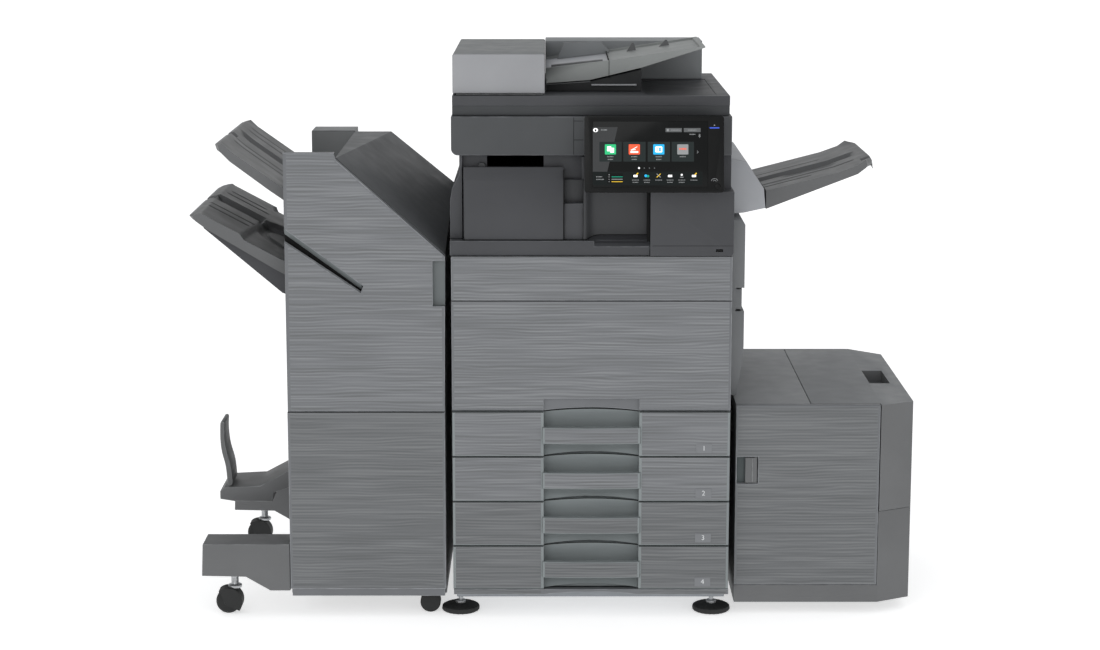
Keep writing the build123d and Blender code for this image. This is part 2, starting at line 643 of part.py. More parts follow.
booklet_y0 = -100.0
booklet_y1 = 35.0
stop_x = -715.0
stop_z = 248.0
with BuildPart() as booklet_tray:
    outline = [(-737, 212), (-737, 230), (-729, 238), (-648, 242), (fin_left - gap, 287),
               (fin_left - gap, 244), (-619, 226), (-622, 206), (-706, 207)]
    prism(at_y(booklet_y1), outline, booklet_y1 - booklet_y0)
pieces["booklet_tray"] = booklet_tray

with BuildPart() as booklet_stop:
    with BuildSketch(at_y(-15)):
        with BuildLine():
            Spline((stop_x - 6, stop_z), (-722, 266), (-725, 291), (-731, 315), (-734, 340),
                   (-733.5, 381))
            ThreePointArc((-733.5, 381), (-728.7, 386.5), (-724, 381))
            Spline((-724, 381), (-724, 340), (-720, 315), (-713.5, 291), (-710, 266),
                   (stop_x + 6, stop_z))
            ThreePointArc((stop_x + 6, stop_z), (stop_x, stop_z - 6), (stop_x - 6, stop_z))
        make_face()
    extrude(amount=80)
pieces["booklet_stop"] = booklet_stop

arm_low = 91.0
arm_high = 163.0
with BuildPart() as finisher_arms:
    outline = [(fin_left - gap, 60.5), (-607, 60.5), (-659, arm_low), (-753, arm_low + 2),
               (-750, arm_high), (fin_left - gap, arm_high)]
    for arm_y in (front, 250):
        prism(at_y(arm_y + 84), outline, 84)
    fillet(finisher_arms.edges().filter_by(Axis.Z).group_by(Axis.X)[0], radius=3)
    for fixed_y in (-240, 290):
        block(-281, -251, fixed_y - 15, fixed_y + 15, 40, fin_base - 0.2)
        rod(along_y(-266, fixed_y - 12, 22), 22, 24)
pieces["finisher_arms"] = finisher_arms

wheel_radius = 27.0
caster_x = -688.0
for side, caster_y in (("front", -252.0), ("rear", 300.0)):
    wheel_x = caster_x - 14
    with BuildPart() as fork:
        rod(along_z(caster_x, caster_y, 62), 8, arm_low - 62 - 0.5)
        rod(along_z(caster_x, caster_y, 56), 15, 7)
        for cheek in (-17, 13):
            block(wheel_x - 6, caster_x + 8, caster_y + cheek, caster_y + cheek + 4,
                  wheel_radius - 6, 60)
        block(wheel_x - 6, caster_x + 8, caster_y - 17, caster_y + 17, 56, 60)
        rod(along_y(wheel_x, caster_y - 17, wheel_radius), 3, 34)
    pieces[f"{side}_caster_fork"] = fork
    with BuildPart() as wheel:
        rod(along_y(wheel_x, caster_y - 12, wheel_radius), wheel_radius, 24)
        fillet(wheel.edges().filter_by(GeomType.CIRCLE), radius=4)
        rod(along_y(wheel_x, caster_y - 13, wheel_radius), 3.05, 26, mode=Mode.SUBTRACT)
    pieces[f"{side}_caster_wheel"] = wheel

# ---------------------------------------------------------------- export
for label, piece in pieces.items():
    piece.part.label = label
    export_step(piece.part, f"parts/{label}.step")
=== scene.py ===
import json
import math

import bmesh
import bpy
import numpy as np
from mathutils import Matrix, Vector

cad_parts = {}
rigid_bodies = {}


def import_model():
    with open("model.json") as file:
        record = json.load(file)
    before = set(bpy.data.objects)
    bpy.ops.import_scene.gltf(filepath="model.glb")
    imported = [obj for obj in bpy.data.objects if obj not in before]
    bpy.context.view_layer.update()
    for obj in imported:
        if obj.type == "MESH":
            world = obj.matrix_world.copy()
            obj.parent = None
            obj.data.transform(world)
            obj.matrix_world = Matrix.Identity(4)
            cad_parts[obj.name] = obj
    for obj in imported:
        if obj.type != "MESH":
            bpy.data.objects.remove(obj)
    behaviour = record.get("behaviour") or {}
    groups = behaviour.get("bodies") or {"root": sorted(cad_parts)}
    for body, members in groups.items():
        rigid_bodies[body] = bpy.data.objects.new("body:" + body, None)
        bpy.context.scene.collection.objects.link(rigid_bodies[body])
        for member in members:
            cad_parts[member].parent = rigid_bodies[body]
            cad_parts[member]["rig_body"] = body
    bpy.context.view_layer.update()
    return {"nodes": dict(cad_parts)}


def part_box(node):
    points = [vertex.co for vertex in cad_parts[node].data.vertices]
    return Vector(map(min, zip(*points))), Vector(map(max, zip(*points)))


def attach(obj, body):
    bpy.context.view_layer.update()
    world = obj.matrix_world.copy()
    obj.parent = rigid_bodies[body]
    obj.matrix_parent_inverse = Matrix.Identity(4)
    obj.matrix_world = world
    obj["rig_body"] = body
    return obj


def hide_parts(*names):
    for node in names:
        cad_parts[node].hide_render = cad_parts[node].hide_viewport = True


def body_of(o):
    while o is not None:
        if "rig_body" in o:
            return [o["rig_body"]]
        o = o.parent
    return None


# Office photocopier: main unit, finisher on the left, large paper cassette on the right.
# Blender works in metres; sizes measured in millimetres are multiplied by MM.

MM = 0.001
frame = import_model()

FRONT = -294.0                  # plane of the striped fronts
SEAMS = [454.0, 356.0, 258.0, 160.5, 64.0]
RECESS = (-21.5, 182.0)         # left and right side of the handle recess
ARCH = 7.0                      # rise of a drawer's arched top edge


# ---------------------------------------------------------------- materials
def linear(code):
    """Linear colour of an sRGB hex code."""
    parts = [int(code[i:i + 2], 16) / 255 for i in (0, 2, 4)]
    return [p / 12.92 if p <= 0.04045 else ((p + 0.055) / 1.055) ** 2.4 for p in parts] + [1.0]


def shade(colour, factor):
    """Linear colour made lighter or darker."""
    return [min(1.0, c * factor) for c in colour[:3]] + [1.0]


class Look:
    """Node material with a noisy colour, a noisy roughness and a fine grain."""

    def __init__(self, name, specular=None):
        self.mat = bpy.data.materials.new(name)
        self.mat.use_nodes = True
        self.nodes = self.mat.node_tree.nodes
        self.links = self.mat.node_tree.links
        self.bsdf = self.nodes["Principled BSDF"]
        if specular is not None:
            self.bsdf.inputs["Specular IOR Level"].default_value = specular

    def noise(self, scale, detail=2.0, stretch=(1.0, 1.0, 1.0)):
        """Noise in the object's own coordinates, which are the row frame."""
        coords = self.nodes.new("ShaderNodeTexCoord")
        mapping = self.nodes.new("ShaderNodeMapping")
        mapping.inputs["Scale"].default_value = stretch
        texture = self.nodes.new("ShaderNodeTexNoise")
        texture.inputs["Scale"].default_value = scale
        texture.inputs["Detail"].default_value = detail
        self.links.new(coords.outputs["Object"], mapping.inputs["Vector"])
        self.links.new(mapping.outputs["Vector"], texture.inputs["Vector"])
        return texture.outputs["Fac"]

    def colour(self, source, *stops):
        """Base colour from a ramp of (position, colour) stops."""
        node = self.nodes.new("ShaderNodeValToRGB")
        stripe = node.color_ramp
        for element, (position, colour) in zip(stripe.elements, (stops[0], stops[-1])):
            element.position = position
            element.color = colour
        for position, colour in stops[1:-1]:
            stripe.elements.new(position).color = colour
        self.links.new(source, node.inputs["Fac"])
        self.links.new(node.outputs["Color"], self.bsdf.inputs["Base Color"])
        return node.outputs["Color"]

    def roughness(self, source, low, high):
        """Roughness that follows a noise between two values."""
        node = self.nodes.new("ShaderNodeMapRange")
        node.inputs["From Min"].default_value = 0.3
        node.inputs["From Max"].default_value = 0.7
        node.inputs["To Min"].default_value = low
        node.inputs["To Max"].default_value = high
        self.links.new(source, node.inputs["Value"])
        self.links.new(node.outputs["Result"], self.bsdf.inputs["Roughness"])

    def grain(self, source, strength, depth):
        """Bump from a fine noise."""
        bump = self.nodes.new("ShaderNodeBump")
        bump.inputs["Strength"].default_value = strength
        bump.inputs["Distance"].default_value = depth
        self.links.new(source, bump.inputs["Height"])
        self.links.new(bump.outputs["Normal"], self.bsdf.inputs["Normal"])


def moulded(name, code, rough=0.5, texture=0.25):
    """Fine-textured moulded plastic."""
    look = Look(name, 0.3)
    base = linear(code)
    look.colour(look.noise(7.0, 4.0), (0.3, shade(base, 0.94)), (0.7, shade(base, 1.06)))
    look.roughness(look.noise(24.0, 5.0), rough - 0.06, rough + 0.06)
    look.grain(look.noise(1500.0, 1.0), texture, 0.00005)
    return look.mat


def worn_edge(name, code, highlight_code):
    """Rounded edge of a moulding in a copy of its colour, with noisy lighter and smoother patches:
    painted highlight along the edge.
    """
    look = Look(name, 0.3)
    highlight_patches = look.noise(38.0, 6.0)
    look.colour(highlight_patches, (0.38, linear(code)), (0.66, linear(highlight_code)))
    look.roughness(highlight_patches, 0.5, 0.34)
    return look.mat


def striped(name, low_code, mid_code, high_code):
    """Wavy-ribbed fronts: the relief is in the mesh, and its height tints the colour as painted
    light, crests lighter as painted highlight and hollows darker as painted shade.
    """
    look = Look(name, 0.3)
    height = look.nodes.new("ShaderNodeAttribute")
    height.attribute_name = "ripple"
    look.colour(height.outputs["Fac"], (0.12, linear(low_code)), (0.5, linear(mid_code)),
                (0.9, linear(high_code)))
    look.roughness(look.noise(60.0, 3.0, (0.25, 1.0, 6.0)), 0.4, 0.52)
    look.grain(look.noise(1300.0, 1.0), 0.2, 0.00004)
    return look.mat


def glossy(name, code, rough=0.1, coat=0.0):
    """Glossy moulding with faint finger smears."""
    look = Look(name, 0.2)
    base = linear(code)
    look.colour(look.noise(11.0, 4.0), (0.3, shade(base, 0.92)), (0.7, shade(base, 1.1)))
    look.roughness(look.noise(45.0, 6.0), rough, rough + 0.08)
    look.grain(look.noise(500.0, 1.0), 0.03, 0.00003)
    look.bsdf.inputs["Coat Weight"].default_value = coat
    return look.mat


def metal(name, code, rough=0.35):
    """Brushed sheet or turned steel."""
    look = Look(name)
    base = linear(code)
    brush = look.noise(260.0, 3.0, (0.06, 1.0, 1.0))
    look.colour(brush, (0.3, shade(base, 0.85)), (0.7, shade(base, 1.1)))
    look.roughness(brush, rough - 0.08, rough + 0.1)
    look.grain(brush, 0.1, 0.00003)
    look.bsdf.inputs["Metallic"].default_value = 0.85
    return look.mat


def rubber(name, code):
    """Matt rubber with a dusty surface."""
    look = Look(name)
    base = linear(code)
    dust = look.noise(55.0, 6.0)
    look.colour(dust, (0.35, base), (0.75, shade(base, 1.7)))
    look.roughness(dust, 0.62, 0.82)
    look.grain(look.noise(900.0, 2.0), 0.35, 0.00008)
    return look.mat


def glass(name):
    """Flat platen glass with a faint green tint."""
    look = Look(name)
    haze = look.noise(6.0, 2.0)
    look.colour(haze, (0.3, [0.80, 0.9, 0.86, 1.0]), (0.7, [0.84, 0.93, 0.9, 1.0]))
    look.roughness(haze, 0.02, 0.05)
    look.bsdf.inputs["Transmission Weight"].default_value = 0.95
    return look.mat


def lit(name, code, power):
    """Part of the display picture, lit from behind with a fine pixel raster; the sheen look made with
    it is a painted reflection.
    """
    look = Look(name, 0.1)
    base = linear(code)
    colour = look.colour(look.noise(1800.0, 0.0), (0.3, shade(base, 0.9)),
                         (0.7, shade(base, 1.05)))
    look.links.new(colour, look.bsdf.inputs["Emission Color"])
    look.bsdf.inputs["Emission Strength"].default_value = power
    look.bsdf.inputs["Roughness"].default_value = 0.3
    return look.mat


LOOKS = {
    "striped_panel": moulded("front_plastic", "707275"),
    # The *_edge looks colour the rounded bevel faces: mostly lighter than the face as painted
    # highlight, darker on the drawers as painted shade.
    "striped_panel_edge": worn_edge("front_plastic_edge", "7d7f82", "989a9d"),
    "ribbed": striped("ribbed_front", "696b6c", "75777a", "86888a"),
    # ribbed_low is a darker copy of ribbed for the lower fronts: painted shade.
    "ribbed_low": striped("ribbed_front_low", "616364", "6c6e70", "7a7c7d"),
    "drawer_panel": moulded("drawer_plastic", "848a8b"),
    "drawer_panel_edge": worn_edge("drawer_plastic_edge", "696e6f", "7c8182"),
    "dark_plastic_edge": worn_edge("dark_plastic_edge", "4a4b4e", "606265"),
    "mid_plastic_edge": worn_edge("mid_plastic_edge", "6f7071", "8a8c8d"),
    "tray_plastic": moulded("tray_plastic", "646566", 0.45, 0.4),
    "light_plastic_edge": worn_edge("light_plastic_edge", "8f9194", "a6a8ab"),
    "black_gloss": glossy("black_gloss", "0d0e0e", 0.2),
    "screen_glass": glossy("screen_glass", "080a0a", 0.1),
    "black_rubber": rubber("black_rubber", "1e1f1f"),
    "sheet_steel": metal("sheet_steel", "8c9094", 0.4),
    "bright_steel": metal("bright_steel", "b4b6b8", 0.3),
    "clear_glass": glass("clear_glass"),
    "toner_plastic": glossy("toner_plastic", "232426", 0.3),
    "drum_coating": glossy("drum_coating", "2d6a63", 0.12, 0.6),
    "belt_film": glossy("belt_film", "2b2320", 0.2),
    "roller_rubber": rubber("roller_rubber", "4a4b4c"),
    "label": moulded("label_plastic", "7b7d80", 0.4),
}
for plain, code, rough in (
        ("dark_plastic", "434447", 0.48), ("scanner_plastic", "47494b", 0.48),
        # side_plastic is a lighter copy of mid_plastic for the right-facing side door: painted light.
        ("side_plastic", "7c7e80", 0.5), ("doc_plastic", "8c8f8e", 0.5),
        ("exit_plastic", "a6a8ac", 0.48), ("lid_plastic", "434447", 0.5),
        ("mid_plastic", "68696a", 0.5), ("light_plastic", "98999c", 0.48),
        ("feeder_top", "6f7273", 0.5), ("inner_plastic", "3a3b3c", 0.55),
        # black_core paints the shade inside the feeder's output mouth; adf_wall is a lighter copy of
        # mid_plastic that paints light on the feeder's shaded rear wall.
        ("black_void", "0a0b0b", 0.8), ("black_core", "232425", 0.6), ("adf_wall", "85888a", 0.5),
        # cover_plastic is a lighter copy of dark_plastic that paints light on the finisher's shaded
        # top cover.
        ("dark_band", "3c3e40", 0.5), ("cover_plastic", "57595b", 0.5),
        # block_plastic is a lighter copy of dark_plastic that paints light on shaded blocks;
        # cassette_top is a lighter copy of mid_plastic for the cassette's upward faces, painted
        # light.
        ("block_plastic", "7e8081", 0.5), ("cassette_top", "7e8082", 0.5),
        # finger_pocket is a grey-green plastic, a little darker than the front as painted shade in
        # recesses.
        ("pocket_shade", "4d5455", 0.55), ("finger_pocket", "6c7172", 0.55),
        # bay_plastic is a darker copy of dark_plastic for the recessed bay: painted shade.
        ("paper_bed", "a3a5a9", 0.45), ("bay_plastic", "3f4042", 0.5),
        ("label_figure", "d8dadb", 0.45)):
    LOOKS[plain] = moulded(plain, code, rough)
for tint, code, power in (("white", "f0f0f0", 0.75), ("grey", "8b8d8e", 0.35),
                          ("button", "5c5e5f", 0.3), ("tile", "262c2c", 0.3),
                          # sheen is a painted reflection that glows on the display.
                          ("bar", "161a1a", 0.3), ("sheen", "3c3d3e", 0.3),
                          ("green", "2fa86e", 0.7), ("red", "e2573a", 0.7),
                          ("blue", "2a9fd6", 0.7), ("teal", "1c8f74", 0.6),
                          ("yellow", "d9b436", 0.6), ("lamp", "3a50b0", 0.9)):
    LOOKS["screen_" + tint] = lit("screen_" + tint, code, power)


# ---------------------------------------------------------------- mesh helpers
def new_object(name, data):
    """Object linked into the scene."""
    obj = bpy.data.objects.new(name, data)
    bpy.context.scene.collection.objects.link(obj)
    return obj


def add_mesh(name, verts, faces, looks, body, smooth=True):
    """Makes a mesh object from points in metres and lets it ride on a body."""
    mesh = bpy.data.meshes.new(name)
    mesh.from_pydata([tuple(v) for v in verts], [], faces)
    mesh.update()
    obj = new_object(name, mesh)
    for look in looks:
        mesh.materials.append(LOOKS[look])
    if smooth:
        mesh.polygons.foreach_set("use_smooth", [True] * len(mesh.polygons))
        mesh.set_sharp_from_angle(angle=math.radians(38))
    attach(obj, body)
    return obj


def soften(node, slot, look, width):
    """Rounded-edge copy of a CAD node in a finished material, which replaces the node."""
    edge = look + "_edge" if look + "_edge" in LOOKS else slot + "_edge"
    source = frame["nodes"][node]
    mesh = source.data.copy()
    work = bmesh.new()
    work.from_mesh(mesh)
    bmesh.ops.remove_doubles(work, verts=work.verts, dist=0.00001)
    bmesh.ops.dissolve_limit(work, angle_limit=math.radians(0.6), verts=work.verts,
                             edges=work.edges)
    for face in work.faces:
        face.material_index = 0
        face.smooth = True
    work.to_mesh(mesh)
    work.free()
    mesh.materials.clear()
    mesh.materials.append(LOOKS[look])
    mesh.materials.append(LOOKS.get(edge, LOOKS[look]))
    rough = new_object(node + "_draft", mesh)
    bevel = rough.modifiers.new("round", "BEVEL")
    bevel.width = width * MM
    bevel.segments = 3
    bevel.limit_method = "ANGLE"
    bevel.angle_limit = math.radians(31)
    bevel.harden_normals = True
    # The bevel faces take the edge look: painted highlight and shade along the rounded edges.
    bevel.material = 1
    bevel.use_clamp_overlap = True
    bpy.context.view_layer.update()
    graph = bpy.context.evaluated_depsgraph_get()
    final = bpy.data.meshes.new_from_object(rough.evaluated_get(graph), depsgraph=graph)
    bpy.data.objects.remove(rough)
    piece = new_object(node + "_finished", final)
    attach(piece, body_of(source)[0])
    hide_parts(node)
    return piece


def repaint(piece, look, low, high, upward):
    """Gives the faces whose middle lies in a box another look; corners in millimetres."""
    piece.data.materials.append(LOOKS[look])
    number = len(piece.data.materials) - 1
    for face in piece.data.polygons:
        middle = face.center / MM
        inside = all(a <= m <= b for a, m, b in zip(low, middle, high))
        if inside and (face.normal.z > 0.5 or not upward):
            face.material_index = number


# ---------------------------------------------------------------- ribbed fronts
def lattice(u, v, seed):
    """Smooth seeded noise from -1 to 1 over a unit lattice."""
    table = np.random.default_rng(seed).uniform(-1.0, 1.0, (97, 331))
    iu = np.floor(u).astype(int)
    iv = np.floor(v).astype(int)
    fu = u - iu
    fv = v - iv
    fu = fu * fu * (3 - 2 * fu)
    fv = fv * fv * (3 - 2 * fv)
    near = table[iu % 97, iv % 331] * (1 - fu) + table[(iu + 1) % 97, iv % 331] * fu
    far = table[iu % 97, (iv + 1) % 331] * (1 - fu) + table[(iu + 1) % 97, (iv + 1) % 331] * fu
    return near * (1 - fv) + far * fv


def ripple(x, z):
    """Height from 0 to 1 of the wavy relief, for x and z in millimetres."""
    drift = 1.5 * lattice(x / 130, z / 26, 3) + 0.7 * lattice(x / 48, z / 11, 4)
    waves = np.sin(2 * np.pi * z / 6.6 + 2.0 * drift)
    weight = 0.62 + 0.38 * lattice(x / 85, z / 8, 5)
    streaks = lattice(x / 105, z / 3.6, 6)
    return np.clip(0.5 + 0.5 * (0.62 * weight * waves + 0.55 * streaks), 0, 1)


def ramp_up(t):
    """Smooth step from 0 to 1."""
    t = np.clip(t, 0, 1)
    return t * t * (3 - 2 * t)


def skin(name, body, left, right, low, high, sides="lrbt", look="ribbed", surface=None):
    """Ribbed sheet on a flat or bowed front, between two heights that may vary along X."""
    xs = np.linspace(left, right, int((right - left) / 7) + 2)
    lows = np.array([low(x) if callable(low) else low for x in xs], float)
    highs = np.array([high(x) if callable(high) else high for x in xs], float)
    count = int((highs.max() - lows.min()) / 1.25) + 2
    rows = np.linspace(lows.min(), highs.max(), count)
    x, z = np.meshgrid(xs, rows)
    z = np.clip(z, lows[None, :], highs[None, :])
    inside = np.full(x.shape, 99.0)
    if "l" in sides:
        inside = np.minimum(inside, x - left)
    if "r" in sides:
        inside = np.minimum(inside, right - x)
    if "b" in sides:
        inside = np.minimum(inside, z - lows[None, :])
    if "t" in sides:
        inside = np.minimum(inside, highs[None, :] - z)
    height = ripple(x, z)
    proud = -0.3 + ramp_up(inside / 1.2) * (0.4 + 0.2 * height)
    plane = surface(x) if surface else FRONT
    verts = np.stack([x, plane - proud, z], axis=-1).reshape(-1, 3) * MM
    faces = []
    wide = len(xs)
    for row in range(count - 1):
        for col in range(wide - 1):
            if z[row + 1, col] - z[row, col] < 0.01 and z[row + 1, col + 1] - z[row, col + 1] < 0.01:
                continue
            corner = row * wide + col
            faces.append((corner, corner + 1, corner + wide + 1, corner + wide))
    piece = add_mesh(name, verts, faces, [look], body)
    # The stored ripple height drives the painted highlight and shade of the ribbed looks.
    mark = piece.data.attributes.new("ripple", "FLOAT", "POINT")
    mark.data.foreach_set("value", height.reshape(-1).astype(np.float32))
    return piece


def arch_line(base, rise):
    """Height of the shallow arch over the handle recess."""
    middle = (RECESS[0] + RECESS[1]) / 2
    half = (RECESS[1] - RECESS[0]) / 2

    def at(x):
        inside = max(0.0, 1 - ((x - middle) / half) ** 2)
        return base + rise * inside

    return at


def handle_face(x):
    """Depth of the bowed face of a drawer handle."""
    middle = (RECESS[0] + RECESS[1]) / 2
    half = (RECESS[1] - RECESS[0]) / 2 + 2
    return FRONT - 4 - 5 * (1 - ((x - middle) / half) ** 2)


def strip(name, body, points, look, corners=(0, 2, 3, 1)):
    """Thin sheet from a list of (first point, second point) pairs, in millimetres."""
    verts = [[c * MM for c in point] for pair in points for point in pair]
    faces = [tuple(2 * i + corner for corner in corners) for i in range(len(points) - 1)]
    add_mesh(name, verts, faces, [look], body)


def seam(name, body, left, right, height, tall=1.3):
    """Dark shadow line along the upper edge of a front."""
    points = [[(x, FRONT - 0.35, z) for z in (height - tall, height)] for x in (left, right)]
    strip(name, body, points, "black_void")


def recess_depth(drop):
    """Depth of the hollow's curved back at a distance below its upper end."""
    half = 54.5
    deepest = 30.0
    radius = (half ** 2 + (deepest - 6) ** 2) / (2 * (deepest - 6))
    return deepest - radius + math.sqrt(radius ** 2 - (half - drop) ** 2)


def arch_seam(number):
    """Painted shadow line along a drawer's arched upper edge, on the curved back of the recess."""
    body = f"drawer_{number}"
    edge = arch_line(SEAMS[number - 1] - 1.1, ARCH)
    points = []
    for x in np.linspace(RECESS[0] + 1.2, RECESS[1] - 1.2, 40):
        pair = []
        for z in (edge(x) - 2.6, edge(x)):
            depth = recess_depth(SEAMS[number - 1] - 1 + ARCH + 3 - z)
            pair.append((x, FRONT + depth - 0.35, z))
        points.append(pair)
    strip(f"{body}_seam_arch", body, points, "black_void")


def seams():
    """Shadow lines between the fronts."""
    for number in range(1, 5):
        body = f"drawer_{number}"
        edge = SEAMS[number - 1] - 1.05
        seam(f"{body}_seam_left", body, -214, -22, edge)
        seam(f"{body}_seam_right", body, 182.5, 373.5, edge)
        arch_seam(number)
    seam("door_seam", "front_door", -214, 373.5, 690.95, 1.0)
    seam("finisher_seam", "finisher", -562, -231, 452.95, 1.6)
    seam("strip_seam", "main_unit", -214, 373.5, 785.45, 0.7)


def ribbed_drawers():
    for number in range(1, 5):
        body = f"drawer_{number}"
        # The two lower drawers take the darker copy, painted shade.
        look = "ribbed" if number < 3 else "ribbed_low"
        top = SEAMS[number - 1] - 2.0
        bottom = SEAMS[number] + 2.0
        skin(f"{body}_ribs_left", body, -213.5, -22.5, bottom, top, look=look)
        skin(f"{body}_ribs_right", body, 183.0, 373.0, bottom, top, look=look)
        grip = SEAMS[number - 1] - 34.5
        skin(f"{body}_ribs_handle", body, -22.5, 183.0, grip - 34, grip - 1,
             look=look, surface=handle_face)


def slant(x):
    """Slanted top edge of the finisher door."""
    if x <= -456:
        return 1001.5
    if x <= -453:
        return 989.0
    return 987.0 - (x + 453) * (202.5 / 226) - 0.3


def slit_top(x):
    return 848 + (x + 568) * (723 - 848) / (568 - 399) + 1.0


def slit_bottom(x):
    return 819 + (x + 568) * (708 - 819) / (568 - 404) - 1.0


def ribbed_panels():
    """Rippled sheets on the front door, the trims and the finisher."""
    door = "front_door"
    cover = "finisher_door"
    main = "main_unit"
    for name, body, left, right, low, high, sides, look in (
            ("door_ribs_left", door, -213.5, -21.5, 461, 690, "lbt", "ribbed"),
            ("door_ribs_right", door, 182.0, 373.0, 461, 690, "rbt", "ribbed"),
            ("door_ribs_middle", door, -21.5, 182.0, 482, 690, "bt", "ribbed"),
            ("strip_ribs", main, -213.5, 373.0, 693, 784.5, "lrbt", "ribbed"),
            # The base strips here and the finisher's lower cover take the darker ribbed copy, painted
            # shade.
            ("base_ribs_left", main, -212.5, -22.0, 53, 62.5, "lrbt", "ribbed_low"),
            ("base_ribs_right", main, 182.5, 374.0, 53, 62.5, "lrbt", "ribbed_low"),
            ("finisher_ribs_over_slit", cover, -559, -456.2, slit_top, 1001.5, "lbt", "ribbed"),
            ("finisher_ribs_over_slit_2", cover, -456.2, -399, slit_top, slant, "bt", "ribbed"),
            ("finisher_ribs_under_slit", cover, -559, -399, 455.5, slit_bottom, "lbt", "ribbed"),
            ("finisher_ribs_middle", cover, -399, -254.5, 455.5, slant, "bt", "ribbed"),
            ("finisher_ribs_low_corner", cover, -254.5, -231, 455.5, 678.5, "rbt", "ribbed"),
            ("finisher_ribs_high_corner", cover, -254.5, -229, 777.5, slant, "rbt", "ribbed"),
            ("finisher_ribs_cover", "finisher", -562, -231, 65.5, 452, "lrbt", "ribbed_low")):
        skin(name, body, left, right, low, high, sides, look)


def cassette_face(x):
    """Depth of the side cassette's striped front."""
    return -264.0 + 0 * x


def ribbed_cassette():
    """Rippled sheets around the release lever of the side cassette."""
    for place, left, right, low, high, sides in (("low", 390, 439, 66, 287.5, "lbt"),
                                                 ("high", 390, 439, 349, 457.5, "lbt"),
                                                 ("right", 439, 695, 66, 457.5, "rbt")):
        # The cassette takes the darker ribbed copy, painted shade.
        skin(f"cassette_ribs_{place}", "paper_cassette", left, right, low, high,
             sides, "ribbed_low", cassette_face)


# ---------------------------------------------------------------- moulded trays
def slab(name, body, xs, ys, top, bottom, look, node, tilt=None):
    """Closed tray body: top and bottom are heights over a grid in X and Y, in millimetres."""
    x, y = np.meshgrid(np.array(xs, float), np.array(ys, float))
    upper = top(x, y)
    lower = np.minimum(bottom(x, y), upper - 1.5)
    if tilt:
        x = tilt(x, y)
    rows, cols = x.shape
    verts = np.concatenate([np.stack([x, y, upper], -1).reshape(-1, 3),
                            np.stack([x, y, lower], -1).reshape(-1, 3)]) * MM
    under = rows * cols
    faces = []
    for r in range(rows - 1):
        for c in range(cols - 1):
            a = r * cols + c
            faces.append((a, a + 1, a + cols + 1, a + cols))
            faces.append((under + a, under + a + cols, under + a + cols + 1, under + a + 1))
    rim = [(0, c) for c in range(cols)] + [(r, cols - 1) for r in range(1, rows)]
    rim += [(rows - 1, c) for c in range(cols - 2, -1, -1)] + [(r, 0) for r in range(rows - 2, 0, -1)]
    loop = [r * cols + c for r, c in rim]
    for i, a in enumerate(loop):
        b = loop[(i + 1) % len(loop)]
        faces.append((b, a, under + a, under + b))
    piece = add_mesh(name, verts, faces, [look], body)
    if node:
        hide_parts(node)
    return piece


def groove(x, y, x0, x1, y0, y1, soft=6.0):
    """1 inside a rectangle of the tray, fading to 0 over a soft edge."""
    across = ramp_up((y - y0) / soft) * ramp_up((y1 - y) / soft)
    along = ramp_up((x - x0) / (soft * 2)) * ramp_up((x1 - x) / (soft * 2))
    return across * along


def cut(z, x, y, *grooves):
    """Heights lowered by soft-edged grooves, each (depth, x0, x1, y0, y1, softness)."""
    for depth, *place in grooves:
        z = z - depth * groove(x, y, *place)
    return z


def scoop(x, y, cx, cy, rx, ry, edge=0.1):
    """1 inside an ellipse, with a crisp rim."""
    return ramp_up((1 - ((x - cx) / rx) ** 2 - ((y - cy) / ry) ** 2) / edge)


def corner_cut(xs_tip, y_low, y_high, cut):
    """Pulls the tip's corners back, so that its ends are rounded in plan."""
    def at(x, y):
        near = np.minimum(y - y_low, y_high - y)
        pull = cut * (1 - ramp_up(near / 26))
        share = np.clip((xs_tip[1] - x) / (xs_tip[1] - xs_tip[0]), 0, 1)
        return x + pull * share

    return at


def stack_tray():
    """Lower output tray, which moves up and down on the finisher's side."""
    xs = np.linspace(-771, -564, 104)
    ys = np.linspace(-234, 266, 190)

    def top(x, y):
        z = np.interp(x, [-771, -760, -744, -564], [861, 866.5, 868, 772])
        z = cut(z, x, y, (14, -752, -640, 2, 78, 7), (3.2, -752, -650, -66, -54, 4),
                (3.2, -748, -655, -112, -98, 4), (2.5, -740, -640, 128, 142, 4),
                (2.5, -735, -650, 172, 184, 4))
        z = z - 9 * ramp_up((x + 663 - 0.06 * (y + 210)) / 12) * ramp_up((60 - y) / 12)
        z = z - 9 * scoop(x, y, -590, -20, 62, 105) * ramp_up((x + 655) / 20)
        z = z + 4 * scoop(x, y, -566, -5, 66, 62) * ramp_up((x + 640) / 20)
        z = z - 9 * scoop(x, y, -592, 236, 55, 62)
        return cut(z, x, y, (16, -790, -748, 24, 62, 4))

    def bottom(x, y):
        return np.interp(x, [-771, -764, -742, -590, -577, -564], [860, 852, 840, 749, 742, 735])

    tilt = corner_cut((-771, -735), -234, 266, 10)
    slab("stack_tray_moulding", "stack_tray", xs, ys, top, bottom, "tray_plastic",
         "stack_tray", tilt)
    gusset_xs = np.linspace(-740, -564, 30)
    gusset_ys = np.linspace(-222, 254, 40)

    def under(x, y):
        return np.interp(x, [-740, -576, -564], [835, 696, 692])

    def over(x, y):
        return np.interp(x, [-742, -590, -577, -564], [838, 748, 741, 734])

    slab("stack_tray_gusset", "stack_tray", gusset_xs, gusset_ys, over, under, "dark_plastic",
         None)


